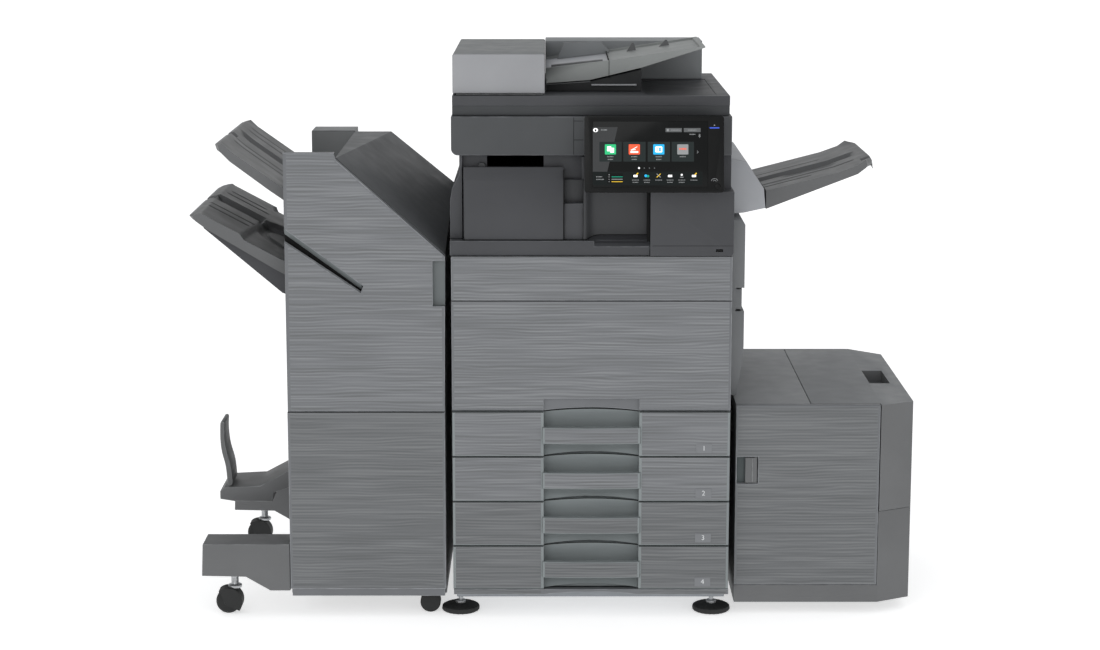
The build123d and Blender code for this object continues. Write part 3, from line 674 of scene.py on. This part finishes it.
def upper_tray():
    """Fixed upper output tray of the finisher."""
    xs = np.linspace(-713, -564, 80)
    ys = np.linspace(-234, 266, 180)

    def top(x, y):
        z = np.interp(x, [-713, -702, -564], [1012, 1016, 918])
        bow = 5 * (1 - ((y - 16) / 250) ** 2)
        z = z - bow * ramp_up((x + 705) / 40)
        return cut(z, x, y, (10, -700, -540, 38, 96, 8), (3, -694, -540, -86, -72, 4),
                   (3, -694, -540, -40, -28, 4), (3, -690, -540, 150, 162, 4),
                   (3, -690, -540, 196, 206, 4), (15, -730, -690, -32, 2, 4))

    def bottom(x, y):
        return np.interp(x, [-713, -710, -600, -564], [1011, 1000, 918, 893])

    tilt = corner_cut((-713, -680), -234, 266, 9)
    slab("upper_tray_moulding", "finisher", xs, ys, top, bottom, "tray_plastic",
         "upper_tray", tilt)


def exit_tray():
    """Right-hand exit tray that rises to a tip with a notch."""
    xs = np.linspace(455, 690, 110)
    ys = np.linspace(-150, 230, 150)

    def top(x, y):
        z = np.interp(x, [455, 610, 684, 690], [905, 945, 972, 962])
        z = cut(z, x, y, (10, 430, 668, 6, 70, 9), (4, 430, 655, -60, -46, 4),
                (4, 430, 560, -96, -84, 4), (3, 430, 600, 108, 118, 5))
        z = z - 5 * scoop(x, y, 560, -10, 70, 26, 0.8)
        return cut(z, x, y, (14, 662, 720, -108, -70, 5))

    def bottom(x, y):
        return np.interp(x, [455, 684, 690], [866, 954, 958])

    def tilt(x, y):
        near = np.minimum(y + 150, 230 - y)
        pull = 20 * (1 - ramp_up(near / 60))
        return x - pull * np.clip((x - 650) / 40, 0, 1)

    slab("exit_tray_moulding", "main_unit", xs, ys, top, bottom, "tray_plastic",
         "exit_tray", tilt)


# ---------------------------------------------------------------- turned parts
def lathe(name, body, centre, axis, profile, looks, steps=64, ridge=0, ridge_depth=0.0):
    """Turned solid: profile points are (radius, distance along the axis, material number)."""
    verts = []
    faces = []
    picks = []
    for radius, along, _ in profile:
        for step in range(steps):
            turn = 2 * math.pi * step / steps
            r = radius
            if ridge and radius > 0.55 * max(p[0] for p in profile):
                r = radius - ridge_depth * (0.5 + 0.5 * math.cos(ridge * turn))
            if axis == "z":
                point = (r * math.cos(turn), r * math.sin(turn), along)
            else:
                point = (r * math.cos(turn), along, r * math.sin(turn))
            verts.append([(c + p) * MM for c, p in zip(centre, point)])
    for ring in range(len(profile) - 1):
        for step in range(steps):
            a = ring * steps + step
            b = ring * steps + (step + 1) % steps
            faces.append((a, b, b + steps, a + steps) if axis == "z" else
                         (b, a, a + steps, b + steps))
            picks.append(profile[ring][2])
    piece = add_mesh(name, verts, faces, looks, body)
    piece.data.polygons.foreach_set("material_index", picks)
    work = bmesh.new()
    work.from_mesh(piece.data)
    bmesh.ops.holes_fill(work, edges=work.edges, sides=0)
    bmesh.ops.recalc_face_normals(work, faces=work.faces)
    work.to_mesh(piece.data)
    work.free()
    return piece


def feet():
    """Levelling feet: ribbed rubber disc, steel stud and nut."""
    profile = [(2, 0, 0), (37, 0, 0), (40.6, 2.5, 0), (41, 6, 0), (40, 11, 0), (33, 14.5, 0),
               (22, 15.2, 0), (12, 17, 0), (11, 17.2, 1), (11, 22.5, 1), (6, 23, 1), (5, 24, 1),
               (5, 39.5, 1), (1, 39.6, 1)]
    places = [(-201, -234), (342, -234), (-175, 270), (335, 270)]
    for index, (x, y) in enumerate(places):
        foot = lathe(f"foot_{index + 1}", "main_unit", (x, y, 0), "z", profile,
                     ["black_rubber", "bright_steel"], 96, 24, 1.1)
        if index == 0:
            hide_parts("levelling_feet")


def casters():
    """Twin-disc casters under the finisher's arms: black wheels, steel stems and a hood."""
    tread = [(3.2, -12.8, 1), (9, -12.8, 1), (10, -11.5, 0), (18, -11, 0), (22, -12.4, 0),
             (26.2, -9, 0), (27, -4, 0), (25.8, -0.8, 0), (25.8, 0.8, 0), (27, 4, 0),
             (26.2, 9, 0), (22, 12.4, 0), (18, 11, 0), (10, 11.5, 0), (9, 12.8, 1), (3.2, 12.8, 1)]
    stem = [(2, 56.5, 0), (14, 56.5, 0), (15, 58, 0), (15, 62, 0), (13, 63.5, 0), (9, 64.5, 0),
            (8, 66, 0), (8, 90.2, 0), (2, 90.3, 0)]
    for side, y in (("front", -252.0), ("rear", 300.0)):
        wheel = lathe(f"{side}_wheel_turned", f"{side}_wheel", (-702, y, 27), "y", tread,
                      ["black_rubber", "inner_plastic"], 72)
        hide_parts(f"{side}_caster_wheel")
        stalk = lathe(f"{side}_caster_stem", f"{side}_caster", (-688, y, 0), "z", stem,
                      ["bright_steel"], 48)
        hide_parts(f"{side}_caster_fork")
        hood(side, y)


def hood(side, y):
    """Curved guard over the wheel, with two cheeks that carry the axle."""
    turns = [math.radians(a) for a in range(-40, 131, 10)]
    count = len(turns)

    def rim(radius, turn, across):
        z = min(27 + radius * math.sin(turn), 57.4)
        return ((-702 + radius * math.cos(turn)) * MM, (y + across) * MM, z * MM)

    verts = [rim(radius, turn, across) for turn in turns for radius in (28.3, 31.0)
             for across in (-17.0, 17.0)]
    faces = []
    for a in range(0, 4 * (count - 1), 4):
        b = a + 4
        faces += [(a, a + 1, b + 1, b), (a + 2, b + 2, b + 3, a + 3),
                  (a, b, b + 2, a + 2), (a + 1, a + 3, b + 3, b + 1)]
    faces += [(0, 2, 3, 1), (b, b + 1, b + 3, b + 2)]
    add_mesh(f"{side}_caster_hood", verts, faces, ["black_rubber"], f"{side}_caster")
    half = count + 2
    faces = [tuple(range(half)), tuple(reversed(range(half, 2 * half)))]
    faces += [(i, (i + 1) % half, half + (i + 1) % half, half + i) for i in range(half)]
    for sign, mark in ((-1, "l"), (1, "r")):
        verts = []
        for across in (sign * 13.4, sign * 16.6):
            verts += [rim(29, turn, across) for turn in turns]
            verts += [(x * MM, (y + across) * MM, z * MM) for x, z in ((-709, 25), (-706, 18))]
        add_mesh(f"{side}_caster_cheek_{mark}", verts, faces, ["black_rubber"],
                 f"{side}_caster")


# ---------------------------------------------------------------- operation panel picture
def screen_frame():
    """Origin, right and up directions, and outward normal of the display, in metres."""
    mesh = frame["nodes"]["panel_screen"].data
    best = None
    for face in mesh.polygons:
        if face.normal.y < 0 and (best is None or face.area > best.area):
            best = face
    out = best.normal.copy()
    right = Vector((1, 0, 0))
    up = right.cross(out) * -1
    if up.z < 0:
        up = -up
    low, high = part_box("panel_screen")
    middle = (low + high) / 2
    reach = max(v.co.dot(out) for v in mesh.vertices)
    origin = middle + out * (reach - middle.dot(out)) + right * 8 * MM
    return origin, right, up, out


class Picture:
    """Collects flat shapes of the display picture, one mesh for each screen colour."""

    def __init__(self):
        self.origin, self.right, self.up, self.out = screen_frame()
        self.shapes = {}

    def place(self, u, v, lift):
        point = self.origin + self.right * (u * MM) + self.up * (v * MM)
        return point + self.out * (lift * MM)

    def polygon(self, tint, points, lift=0.06):
        verts, faces = self.shapes.setdefault("screen_" + tint, ([], []))
        first = len(verts)
        verts.extend(self.place(u, v, lift) for u, v in points)
        faces.append(tuple(range(first, first + len(points))))

    def rect(self, tint, u, v, width, height, lift=0.06, corner=0.0):
        """Rectangle around its centre, with rounded corners if asked."""
        points = []
        for sx, sy, start in ((1, -1, -90), (1, 1, 0), (-1, 1, 90), (-1, -1, 180)):
            cu = u + sx * (width / 2 - corner)
            cv = v + sy * (height / 2 - corner)
            turns = range(start, start + 91, 30) if corner else (start,)
            for angle in turns:
                turn = math.radians(angle)
                points.append((cu + corner * math.cos(turn), cv + corner * math.sin(turn)))
        self.polygon(tint, points, lift)

    def disc(self, tint, u, v, radius, lift=0.08, squash=1.0):
        turns = [2 * math.pi * i / 24 for i in range(24)]
        ring = [(u + radius * math.cos(t), v + squash * radius * math.sin(t)) for t in turns]
        self.polygon(tint, ring, lift)

    def line(self, tint, start, end, width, lift=0.1):
        """Straight stroke between two points."""
        along = Vector((end[0] - start[0], end[1] - start[1]))
        side = Vector((-along.y, along.x)).normalized() * width / 2
        a, b = Vector(start), Vector(end)
        corners = [a - side, b - side, b + side, a + side]
        self.polygon(tint, [tuple(c) for c in corners], lift)

    def words(self, tint, u, v, width, height):
        """Row of small blobs that reads as a caption from afar and says nothing."""
        count = max(2, int(width / 2.2))
        pitch = width / count
        for i in range(count):
            long = pitch * (0.5 if i % 3 == 1 else 0.72)
            self.rect(tint, u - width / 2 + (i + 0.5) * pitch, v, long, height, 0.1)

    def finish(self, prefix):
        for look, (verts, faces) in self.shapes.items():
            add_mesh(f"{prefix}_{look}", verts, faces, [look], "operation_panel", smooth=False)


def display_tiles(pic):
    """Four function tiles with a coloured symbol each."""
    for u in (-89.8, -40.7, 9.4, 58.5):
        pic.rect("tile", u, 5.2, 45.8, 40.6, 0.04, 1.0)
    looks = ("green", "red", "blue", "grey")
    for u, look in zip((-90.0, -41.0, 9.2, 58.5), looks):
        pic.rect(look, u, 9.9, 22.8, 20.8, 0.07, 1.6)
        pic.words("grey", u, -5.0, 13, 1.9)
    for u in (-90.0, -41.0, 9.2):
        pic.words("grey", u, -10.6, 11, 1.9)
    pic.rect("white", -92.6, 11.2, 8.4, 10.2, 0.1, 1.0)
    pic.rect("white", -86.6, 8.2, 8.0, 10.0, 0.12, 1.0)
    pic.rect("green", -86.6, 8.2, 1.0, 6.0, 0.14)
    pic.rect("white", -41.0, 4.6, 16, 3.4, 0.1, 0.4)
    pic.line("white", (-48.0, 8.2), (-35.0, 15.4), 1.3)
    pic.line("white", (-48.0, 8.2), (-38.0, 9.6), 1.3)
    pic.rect("white", 9.2, 9.9, 14.4, 12.4, 0.1, 2.2)
    pic.rect("blue", 6.0, 9.9, 1.3, 8.6, 0.12)
    pic.rect("blue", 11.6, 9.9, 3.8, 7.8, 0.12, 0.8)
    pic.words("red", 58.5, 11.0, 15, 3.6)
    pic.line("grey", (88.0, 7.2), (90.2, 4.6), 0.8)
    pic.line("grey", (90.2, 4.6), (88.0, 2.0), 0.8)


def display_status(pic):
    """Home symbol, two status buttons, page dots and the lower bar."""
    pic.disc("white", -120.5, 49.5, 5.0, 0.1, 0.82)
    pic.polygon("bar", [(-123.0, 49.0), (-118.0, 49.0), (-120.5, 52.0)], 0.13)
    pic.rect("bar", -120.5, 48.0, 3.2, 2.2, 0.13)
    pic.words("grey", -103, 49.8, 13, 2.2)
    pic.rect("button", 39.8, 49.5, 33.4, 8.2, 0.06, 0.8)
    pic.rect("button", 77.8, 49.5, 34.4, 8.2, 0.06, 0.8)
    pic.rect("grey", 27.8, 49.5, 4.2, 4.6, 0.09, 0.8)
    pic.words("grey", 44, 49.5, 20, 1.8)
    pic.words("grey", 77.8, 49.5, 18, 1.8)
    pic.words("grey", 78.3, 40.8, 12.6, 2.0)
    pic.line("grey", (93.0, 33.5), (93.0, 42.0), 0.8)
    pic.line("grey", (90.8, 36.0), (95.0, 40.0), 0.8)
    pic.line("grey", (90.8, 40.0), (95.0, 36.0), 0.8)
    pic.disc("white", -31.3, -28.4, 1.9)
    for u in (-20.5, -10.0, 0.4):
        pic.disc("button", u, -28.4, 1.3)
    pic.rect("bar", -14.0, -49.6, 226, 27.6, 0.04)
    pic.words("grey", -113.0, -46.2, 13, 1.8)
    pic.words("grey", -111.4, -51.6, 16, 1.8)
    pic.rect("glass", -80.0, -49.6, 32, 21.0, 0.06)
    for v, look in ((-46.4, "teal"), (-51.3, "grey"), (-56.3, "yellow")):
        pic.rect(look, -76.3, v, 22.6, 1.3, 0.1)
        pic.disc("grey", -92.8, v, 0.9)
    pic.disc("grey", -92.8, -42.0, 1.2)


def display_shortcuts(pic):
    """Six small shortcuts along the lower bar."""
    for u in (-38.6, 32.4, 81.4):
        pic.rect("white", u, -44.6, 8.6, 4.6, 0.08, 1.0)
    pic.line("yellow", (-37.0, -42.2), (-33.0, -38.4), 2.4)
    pic.line("yellow", (83.0, -42.2), (87.0, -38.4), 2.4)
    pic.disc("blue", -17.4, -44.2, 2.8)
    pic.disc("teal", -12.8, -45.0, 2.5)
    pic.line("yellow", (5.0, -47.4), (13.0, -40.0), 1.5)
    pic.line("grey", (5.0, -40.0), (13.0, -47.4), 1.5)
    pic.disc("white", 56.4, -42.2, 2.0)
    pic.rect("grey", 56.4, -47.0, 7.0, 1.6, 0.08)
    for u in (-38.6, -15.2, 9.0, 32.4, 56.4, 81.4):
        pic.words("grey", u, -53.0, 14, 1.5)
    for u in (-38.6, -15.2, 32.4, 56.4):
        pic.words("grey", u, -57.6, 12, 1.5)


def display_sheen(pic):
    """Painted reflection: a soft slanted glowing strip along the left of the display."""
    pic.polygon("sheen", [(-127, 55.5), (-127, -63), (-103, -63), (-75, 55.5)], 0.02)


def panel_marks():
    """Lamp and round touch symbol on the panel's right margin, on the housing's face."""
    pic = Picture()
    pic.rect("lamp", 123.5, 54.0, 20.0, 2.4, 0.26, 1.0)
    pic.disc("grey", 123.5, 59.4, 1.6, 0.26, 0.7)
    for radius in (7.2, 3.6):
        points = []
        for angle in range(20, 161, 14):
            turn = math.radians(angle)
            points.append((123.8 + radius * math.cos(turn), -57.0 + radius * math.sin(turn)))
        for start, end in zip(points, points[1:]):
            pic.line("grey", start, end, 0.7, 0.26)
    pic.finish("panel_mark")


def display():
    pic = Picture()
    display_sheen(pic)
    display_tiles(pic)
    display_status(pic)
    display_shortcuts(pic)
    pic.finish("picture")
    panel_marks()


# ---------------------------------------------------------------- small parts
def box_mesh(x0, x1, y0, y1, z0, z1):
    """Corner points and faces of a box, in metres."""
    verts = [(x * MM, y * MM, z * MM) for z in (z0, z1) for y in (y0, y1) for x in (x0, x1)]
    faces = [(0, 2, 3, 1), (4, 5, 7, 6), (0, 1, 5, 4), (2, 6, 7, 3), (0, 4, 6, 2), (1, 3, 7, 5)]
    return verts, faces


def rounded_box(name, body, x0, x1, y0, y1, z0, z1, look, slot, width=1.0):
    """Small moulded block with rounded edges."""
    verts, faces = box_mesh(x0, x1, y0, y1, z0, z1)
    piece = add_mesh(name, verts, faces, [look], body)
    work = bmesh.new()
    work.from_mesh(piece.data)
    bmesh.ops.bevel(work, geom=work.edges[:], offset=width * MM, segments=3, affect="EDGES",
                    profile=0.5)
    for face in work.faces:
        face.smooth = True
    work.to_mesh(piece.data)
    work.free()
    piece.data.set_sharp_from_angle(angle=math.radians(40))
    return piece


def figure(number, body, x, y, z, size):
    """Raised number, turned into a mesh."""
    curve = bpy.data.curves.new(f"figure_{number}", "FONT")
    curve.body = str(number)
    curve.size = size * MM
    curve.extrude = 0.15 * MM
    curve.align_x = "CENTER"
    curve.align_y = "CENTER"
    draft = new_object(f"figure_{number}_draft", curve)
    graph = bpy.context.evaluated_depsgraph_get()
    mesh = bpy.data.meshes.new_from_object(draft.evaluated_get(graph), depsgraph=graph)
    bpy.data.objects.remove(draft)
    for vertex in mesh.vertices:
        across, up, deep = vertex.co
        vertex.co = (x * MM + across, y * MM - deep, z * MM + up)
    mesh.materials.clear()
    mesh.materials.append(LOOKS["label_figure"])
    piece = new_object(f"figure_{number}", mesh)
    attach(piece, body)


def labels():
    """Number plate at the right end of each drawer."""
    for number in range(1, 5):
        z = SEAMS[number - 1] - 80.2
        body = f"drawer_{number}"
        rounded_box(f"{body}_plate", body, 302, 336, FRONT - 1.0, FRONT + 1, z - 10, z + 10,
                    "label", "drawer_panel", 0.5)
        figure(number, body, 319, FRONT - 1.1, z, 15)


def slit_parts():
    """Bevelled lip above the finisher's slanted slit in the darker pocket colour as painted shade, a
    rim under the slit in the lighter edge colour as painted highlight, and a dark core sheet behind
    it that paints the shadow inside the slit.
    """
    xs = [-562.5, -520, -480, -440, -402]
    lip = [((x, FRONT + 0.4, slit_top(x) - 0.7), (x, FRONT + 14, slit_top(x) - 14)) for x in xs]
    strip("slit_lip", "finisher_door", lip, "finger_pocket")
    rim = [((x, FRONT + 0.4, slit_bottom(x) + 0.7), (x, FRONT + 7, slit_bottom(x) + 3.5))
           for x in xs]
    strip("slit_rim", "finisher_door", rim, "striped_panel_edge")
    # A black sheet behind the slit: painted shadow.
    core = [((x, FRONT + 19, slit_bottom(x) - 7), (x, FRONT + 19, slit_top(x) + 7)) for x in xs]
    strip("slit_core", "finisher_door", core, "black_void")


def small_boxes():
    """Fine joints, lips, sockets and recess walls, modelled as shallow blocks."""
    main = "main_unit"
    dark = "dark_plastic"
    mid = "mid_plastic"
    void = "black_void"
    for name, body, *box, look, slot, width in (
            ("scanner_seam", main, 41.2, 42.2, -274.25, -273.25, 997, 1075, void, dark, 0.2),
            # scanner_step, scanner_shelf and pillar_crease are black lines at a step, a shelf and a
            # crease: painted shadow.
            ("scanner_step", main, 42.2, 62, -274.25, -273.25, 1066.4, 1067.3, void, dark, 0.2),
            ("scanner_shelf", main, 42.2, 62, -274.25, -273.25, 1027, 1028, void, dark, 0.2),
            ("pillar_crease", main, 205, 374, -294.2, -293.2, 807.4, 808.2, void, dark, 0.2),
            ("lid_lower_band", "platen_cover", -210.5, 365.5, -264.4, -262, 1078.5, 1097.6,
             "dark_band", dark, 0.5),
            ("usb_socket", main, 341, 353, -293.8, -288, 796.2, 799.8, void, dark, 0.4),
            ("relay_seam", main, 20.2, 22.2, -284.5, -270, 822, 966, void, dark, 0.3),
            ("deck_gap", main, -190, 22, -283.5, -279, 818.6, 820.6, void, dark, 0.3),
            ("bed_joint", "document_tray", 116.6, 117.8, -165.4, 147, 1146, 1184.6, void, mid, 0.2),
            ("output_lip", "platen_cover", 80, 176, -164, -158, 1130.5, 1134, "light_plastic",
             mid, 1.2),
            ("cassette_latch_rib", "cassette_lever", 424, 426, -263.9, -261, 292, 345,
             "mid_plastic_edge", mid, 0.4),
            ("cassette_latch_pocket", "paper_cassette", 392, 409.5, -255, -254.2, 290, 346.5,
             "pocket_shade", mid, 0.2),
            ("slot_wall_left", main, -194, -139, -250, -246, 942, 1000, dark, dark, 1.0),
            ("slot_wall_right", main, -21, 61, -250, -246, 942, 1000, dark, dark, 1.0),
            ("bay_gap", main, 196, 201.6, -280, -250, 788, 990, void, dark, 0.5),
            ("grip_shade", main, 22.8, 61.6, -260.8, -260.2, 896, 942, "bay_plastic", dark, 0.2)):
        rounded_box(name, body, *box, look, slot, width)


def locking_knob():
    profile = [(1, -9, 0), (7, -9, 0), (8, -8, 0), (8, 0, 0), (1, 0, 0)]
    # The knob in the bay shares the darker bay_plastic: painted shade.
    lathe("locking_knob", "main_unit", (-150, -252, 971), "y", profile, ["bay_plastic"], 40)


def paper_stops():
    """Two raised fins on the document tray's paper bed."""
    faces = [(0, 2, 4, 6), (1, 7, 5, 3), (0, 1, 3, 2), (2, 3, 5, 4), (4, 5, 7, 6), (6, 7, 1, 0)]
    for left, right, low, high in ((161, 182, 1186.5, 1206), (232, 255, 1197, 1212.5)):
        rise = (right - left) * 0.16
        side = ((left, low), (right, low + rise), (right - 5, high), (right - 9, high))
        verts = [(x * MM, y * MM, z * MM) for x, z in side for y in (60, 63)]
        add_mesh(f"paper_stop_{left}", verts, faces, ["mid_plastic"], "document_tray")


def bay():
    """Recessed wall beside the relay unit, curving back from its edge, and the deck's bevel; the wall
    is in bay_plastic, a darker copy of dark_plastic as painted shade.
    """
    plan = [(62.3, -284), (64.5, -283.5), (68, -281), (71.5, -276), (74.5, -269), (79, -262),
            (86, -257.5), (96, -255.2), (110, -254.5), (195.5, -254.3)]
    wall = [((x, y, 818.6), (x, y, 990)) for x, y in plan]
    foot = []
    ramp = []
    for x, y in plan:
        rise = 6.5 * float(ramp_up((x - 66) / 26))
        foot.append([(x, y - 0.2, z + rise) for z in (818.4, 820.2)])
        ramp.append(((x, y - 0.3, 818.4 + rise), (x, -283.8, 818.4 - 0.6 * rise)))
    strip("bay_wall", "main_unit", wall, "bay_plastic")
    strip("bay_seam", "main_unit", foot, "black_void")
    strip("bay_ramp", "main_unit", ramp, "dark_plastic", (0, 1, 3, 2))


# ---------------------------------------------------------------- putting it together
SOFT = [
    ("striped_panel", "striped_panel", 1.2,
     "front_door front_trims finisher_door finisher_lower_cover lcc_front_panel"),
    ("drawer_panel", "drawer_panel", 1.2,
     "drawer_1_front drawer_2_front drawer_3_front drawer_4_front"),
    ("dark_plastic", "dark_plastic", 2.0,
     "exit_deck right_pillar upper_frame relay_unit relay_cover"),
    # The finisher's top cover in a lighter copy: painted light on its shaded facets.
    ("dark_plastic", "cover_plastic", 2.0, "finisher_top_cover"),
    # The finisher's rear block in a lighter copy: painted light on its shaded front.
    ("dark_plastic", "block_plastic", 2.0, "finisher_rear_block"),
    ("dark_plastic", "lid_plastic", 2.0, "platen_cover"),
    ("dark_plastic", "scanner_plastic", 2.0, "scanner_case"),
    # The side door in the lighter copy: painted light.
    ("mid_plastic", "side_plastic", 1.6, "side_door"),
    ("mid_plastic", "doc_plastic", 1.6, "document_tray"),
    ("light_plastic", "exit_plastic", 2.0, "exit_housing"),
    ("mid_plastic", "mid_plastic", 1.6,
     "side_covers rear_cover lcc_case lcc_lid lcc_lever finisher_frame finisher_arms "
     "booklet_tray booklet_stop adf_body front_guide"),
    ("mid_plastic", "adf_wall", 1.0, "rear_guide"),
    ("light_plastic", "light_plastic", 2.0, "feeder_cover"),
    ("black_gloss", "black_gloss", 1.0, "panel_housing panel_bracket power_button"),
    ("screen_glass", "screen_glass", 0.3, "panel_screen"),
    ("sheet_steel", "sheet_steel", 0.8, "main_frame lcc_lift_plate"),
    ("inner_plastic", "inner_plastic", 1.0,
     "laser_unit scan_carriage finisher_internals "
     "drawer_1_tray drawer_2_tray drawer_3_tray drawer_4_tray"),
    ("drum_coating", "drum_coating", 0.8, "drum_units"),
    ("belt_film", "belt_film", 0.5, "transfer_unit"),
    ("toner_plastic", "toner_plastic", 1.5, "toner_cartridges"),
    ("roller_rubber", "roller_rubber", 0.8, "fuser_rollers"),
    ("clear_glass", "clear_glass", 0.4, "platen_glass"),
]

finished = {}
for slot_name, look_name, round_width, nodes in SOFT:
    for node_name in nodes.split():
        finished[node_name] = soften(node_name, slot_name, look_name, round_width)

for node_name, look_name, low_corner, high_corner, only_top in (
        ("finisher_arms", "black_rubber", (-300, -300, -1), (-230, 330, 47), False),
        ("lcc_case", "black_rubber", (390, -140, -1), (765, 300, 25.5), False),
        ("lcc_case", "drawer_panel", (380, -264.5, 25), (697, -262, 63.5), False),
        # cassette_top on the upward faces only: the cassette's tops painted lighter, painted light.
        ("lcc_case", "cassette_top", (380, -270, 456), (772, 400, 620), True),
        ("lcc_lid", "cassette_top", (380, -270, 456), (772, 400, 620), True),
        ("feeder_cover", "feeder_top", (-211, -249, 1202), (-18, 219, 1205), False),
        # The finisher door's finger recess in finger_pocket: its grey-green colour, darkened as
        # painted shade.
        ("finisher_door", "finger_pocket", (-253.5, -293.4, 679), (-228, -279, 777), False),
        # black_core darkens the feeder's output mouth: painted shade.
        ("adf_body", "black_core", (77.5, -159, 1117), (188, 151, 1167), False),
        # block_plastic here paints light on the shaded part of the feeder body under the tray.
        ("adf_body", "block_plastic", (-18, -159, 1117), (77.5, 151, 1142), False),
        # adf_wall paints light on the feeder's shaded rear wall.
        ("adf_body", "adf_wall", (-18, 150, 1117), (335, 281, 1205), False),
        ("document_tray", "paper_bed", (-20, -158, 1160), (116, 141, 1180), False)):
    repaint(finished[node_name], look_name, low_corner, high_corner, only_top)

ribbed_drawers()
ribbed_panels()
ribbed_cassette()
seams()
stack_tray()
upper_tray()
exit_tray()
feet()
casters()
display()
labels()
slit_parts()
small_boxes()
locking_knob()
paper_stops()
bay()


# ---------------------------------------------------------------- floor, light and camera
def floor():
    """Pale plain floor that runs far past the object on every side."""
    verts = [(-60, -60, 0), (60, -60, 0), (60, 60, 0), (-60, 60, 0)]
    mesh = bpy.data.meshes.new("floor")
    mesh.from_pydata(verts, [], [(0, 1, 2, 3)])
    obj = new_object("floor", mesh)
    look = Look("pale_floor", 0.0)
    colour = look.colour(look.noise(0.6, 2.0), (0.3, [0.9, 0.9, 0.9, 1]),
                         (0.7, [0.92, 0.92, 0.92, 1]))
    look.links.new(colour, look.bsdf.inputs["Emission Color"])
    look.bsdf.inputs["Emission Strength"].default_value = 0.6
    look.bsdf.inputs["Roughness"].default_value = 0.9
    mesh.materials.append(look.mat)


def sky():
    """Soft white surroundings, dimmer overhead than at the horizon."""
    world = bpy.data.worlds.new("studio")
    bpy.context.scene.world = world
    world.use_nodes = True
    nodes = world.node_tree.nodes
    links = world.node_tree.links
    coords = nodes.new("ShaderNodeTexCoord")
    split = nodes.new("ShaderNodeSeparateXYZ")
    links.new(coords.outputs["Generated"], split.inputs["Vector"])
    fade = nodes.new("ShaderNodeValToRGB")
    fade.color_ramp.elements[0].position = 0.05
    fade.color_ramp.elements[0].color = (1.0, 1.0, 1.0, 1.0)
    fade.color_ramp.elements[1].position = 0.7
    fade.color_ramp.elements[1].color = (0.86, 0.87, 0.88, 1.0)
    links.new(split.outputs["Z"], fade.inputs["Fac"])
    links.new(fade.outputs["Color"], nodes["Background"].inputs["Color"])
    nodes["Background"].inputs["Strength"].default_value = 0.75


def area_light(name, place, target, size, power):
    """Square soft light aimed at a point."""
    data = bpy.data.lights.new(name, "AREA")
    data.size = size
    data.energy = power
    obj = new_object(name, data)
    obj.location = place
    aim = Vector(target) - Vector(place)
    obj.rotation_euler = aim.to_track_quat("-Z", "Y").to_euler()


def camera():
    """Same place and lens as the photograph's camera."""
    data = bpy.data.cameras.new("camera")
    data.lens = 78.5
    data.sensor_width = 36.0
    data.clip_end = 200
    obj = new_object("camera", data)
    obj.location = (-0.0075, -5.2446, 1.5665)
    obj.rotation_euler = (math.radians(90 - 10.6), 0, 0)
    bpy.context.scene.camera = obj
    bpy.context.scene.view_settings.view_transform = "Standard"


floor()
sky()
area_light("key", (-1.6, -4.6, 2.4), (0, 0, 0.6), 2.6, 24)
area_light("fill", (2.4, -4.2, 1.0), (0, 0, 0.5), 2.4, 6)
camera()
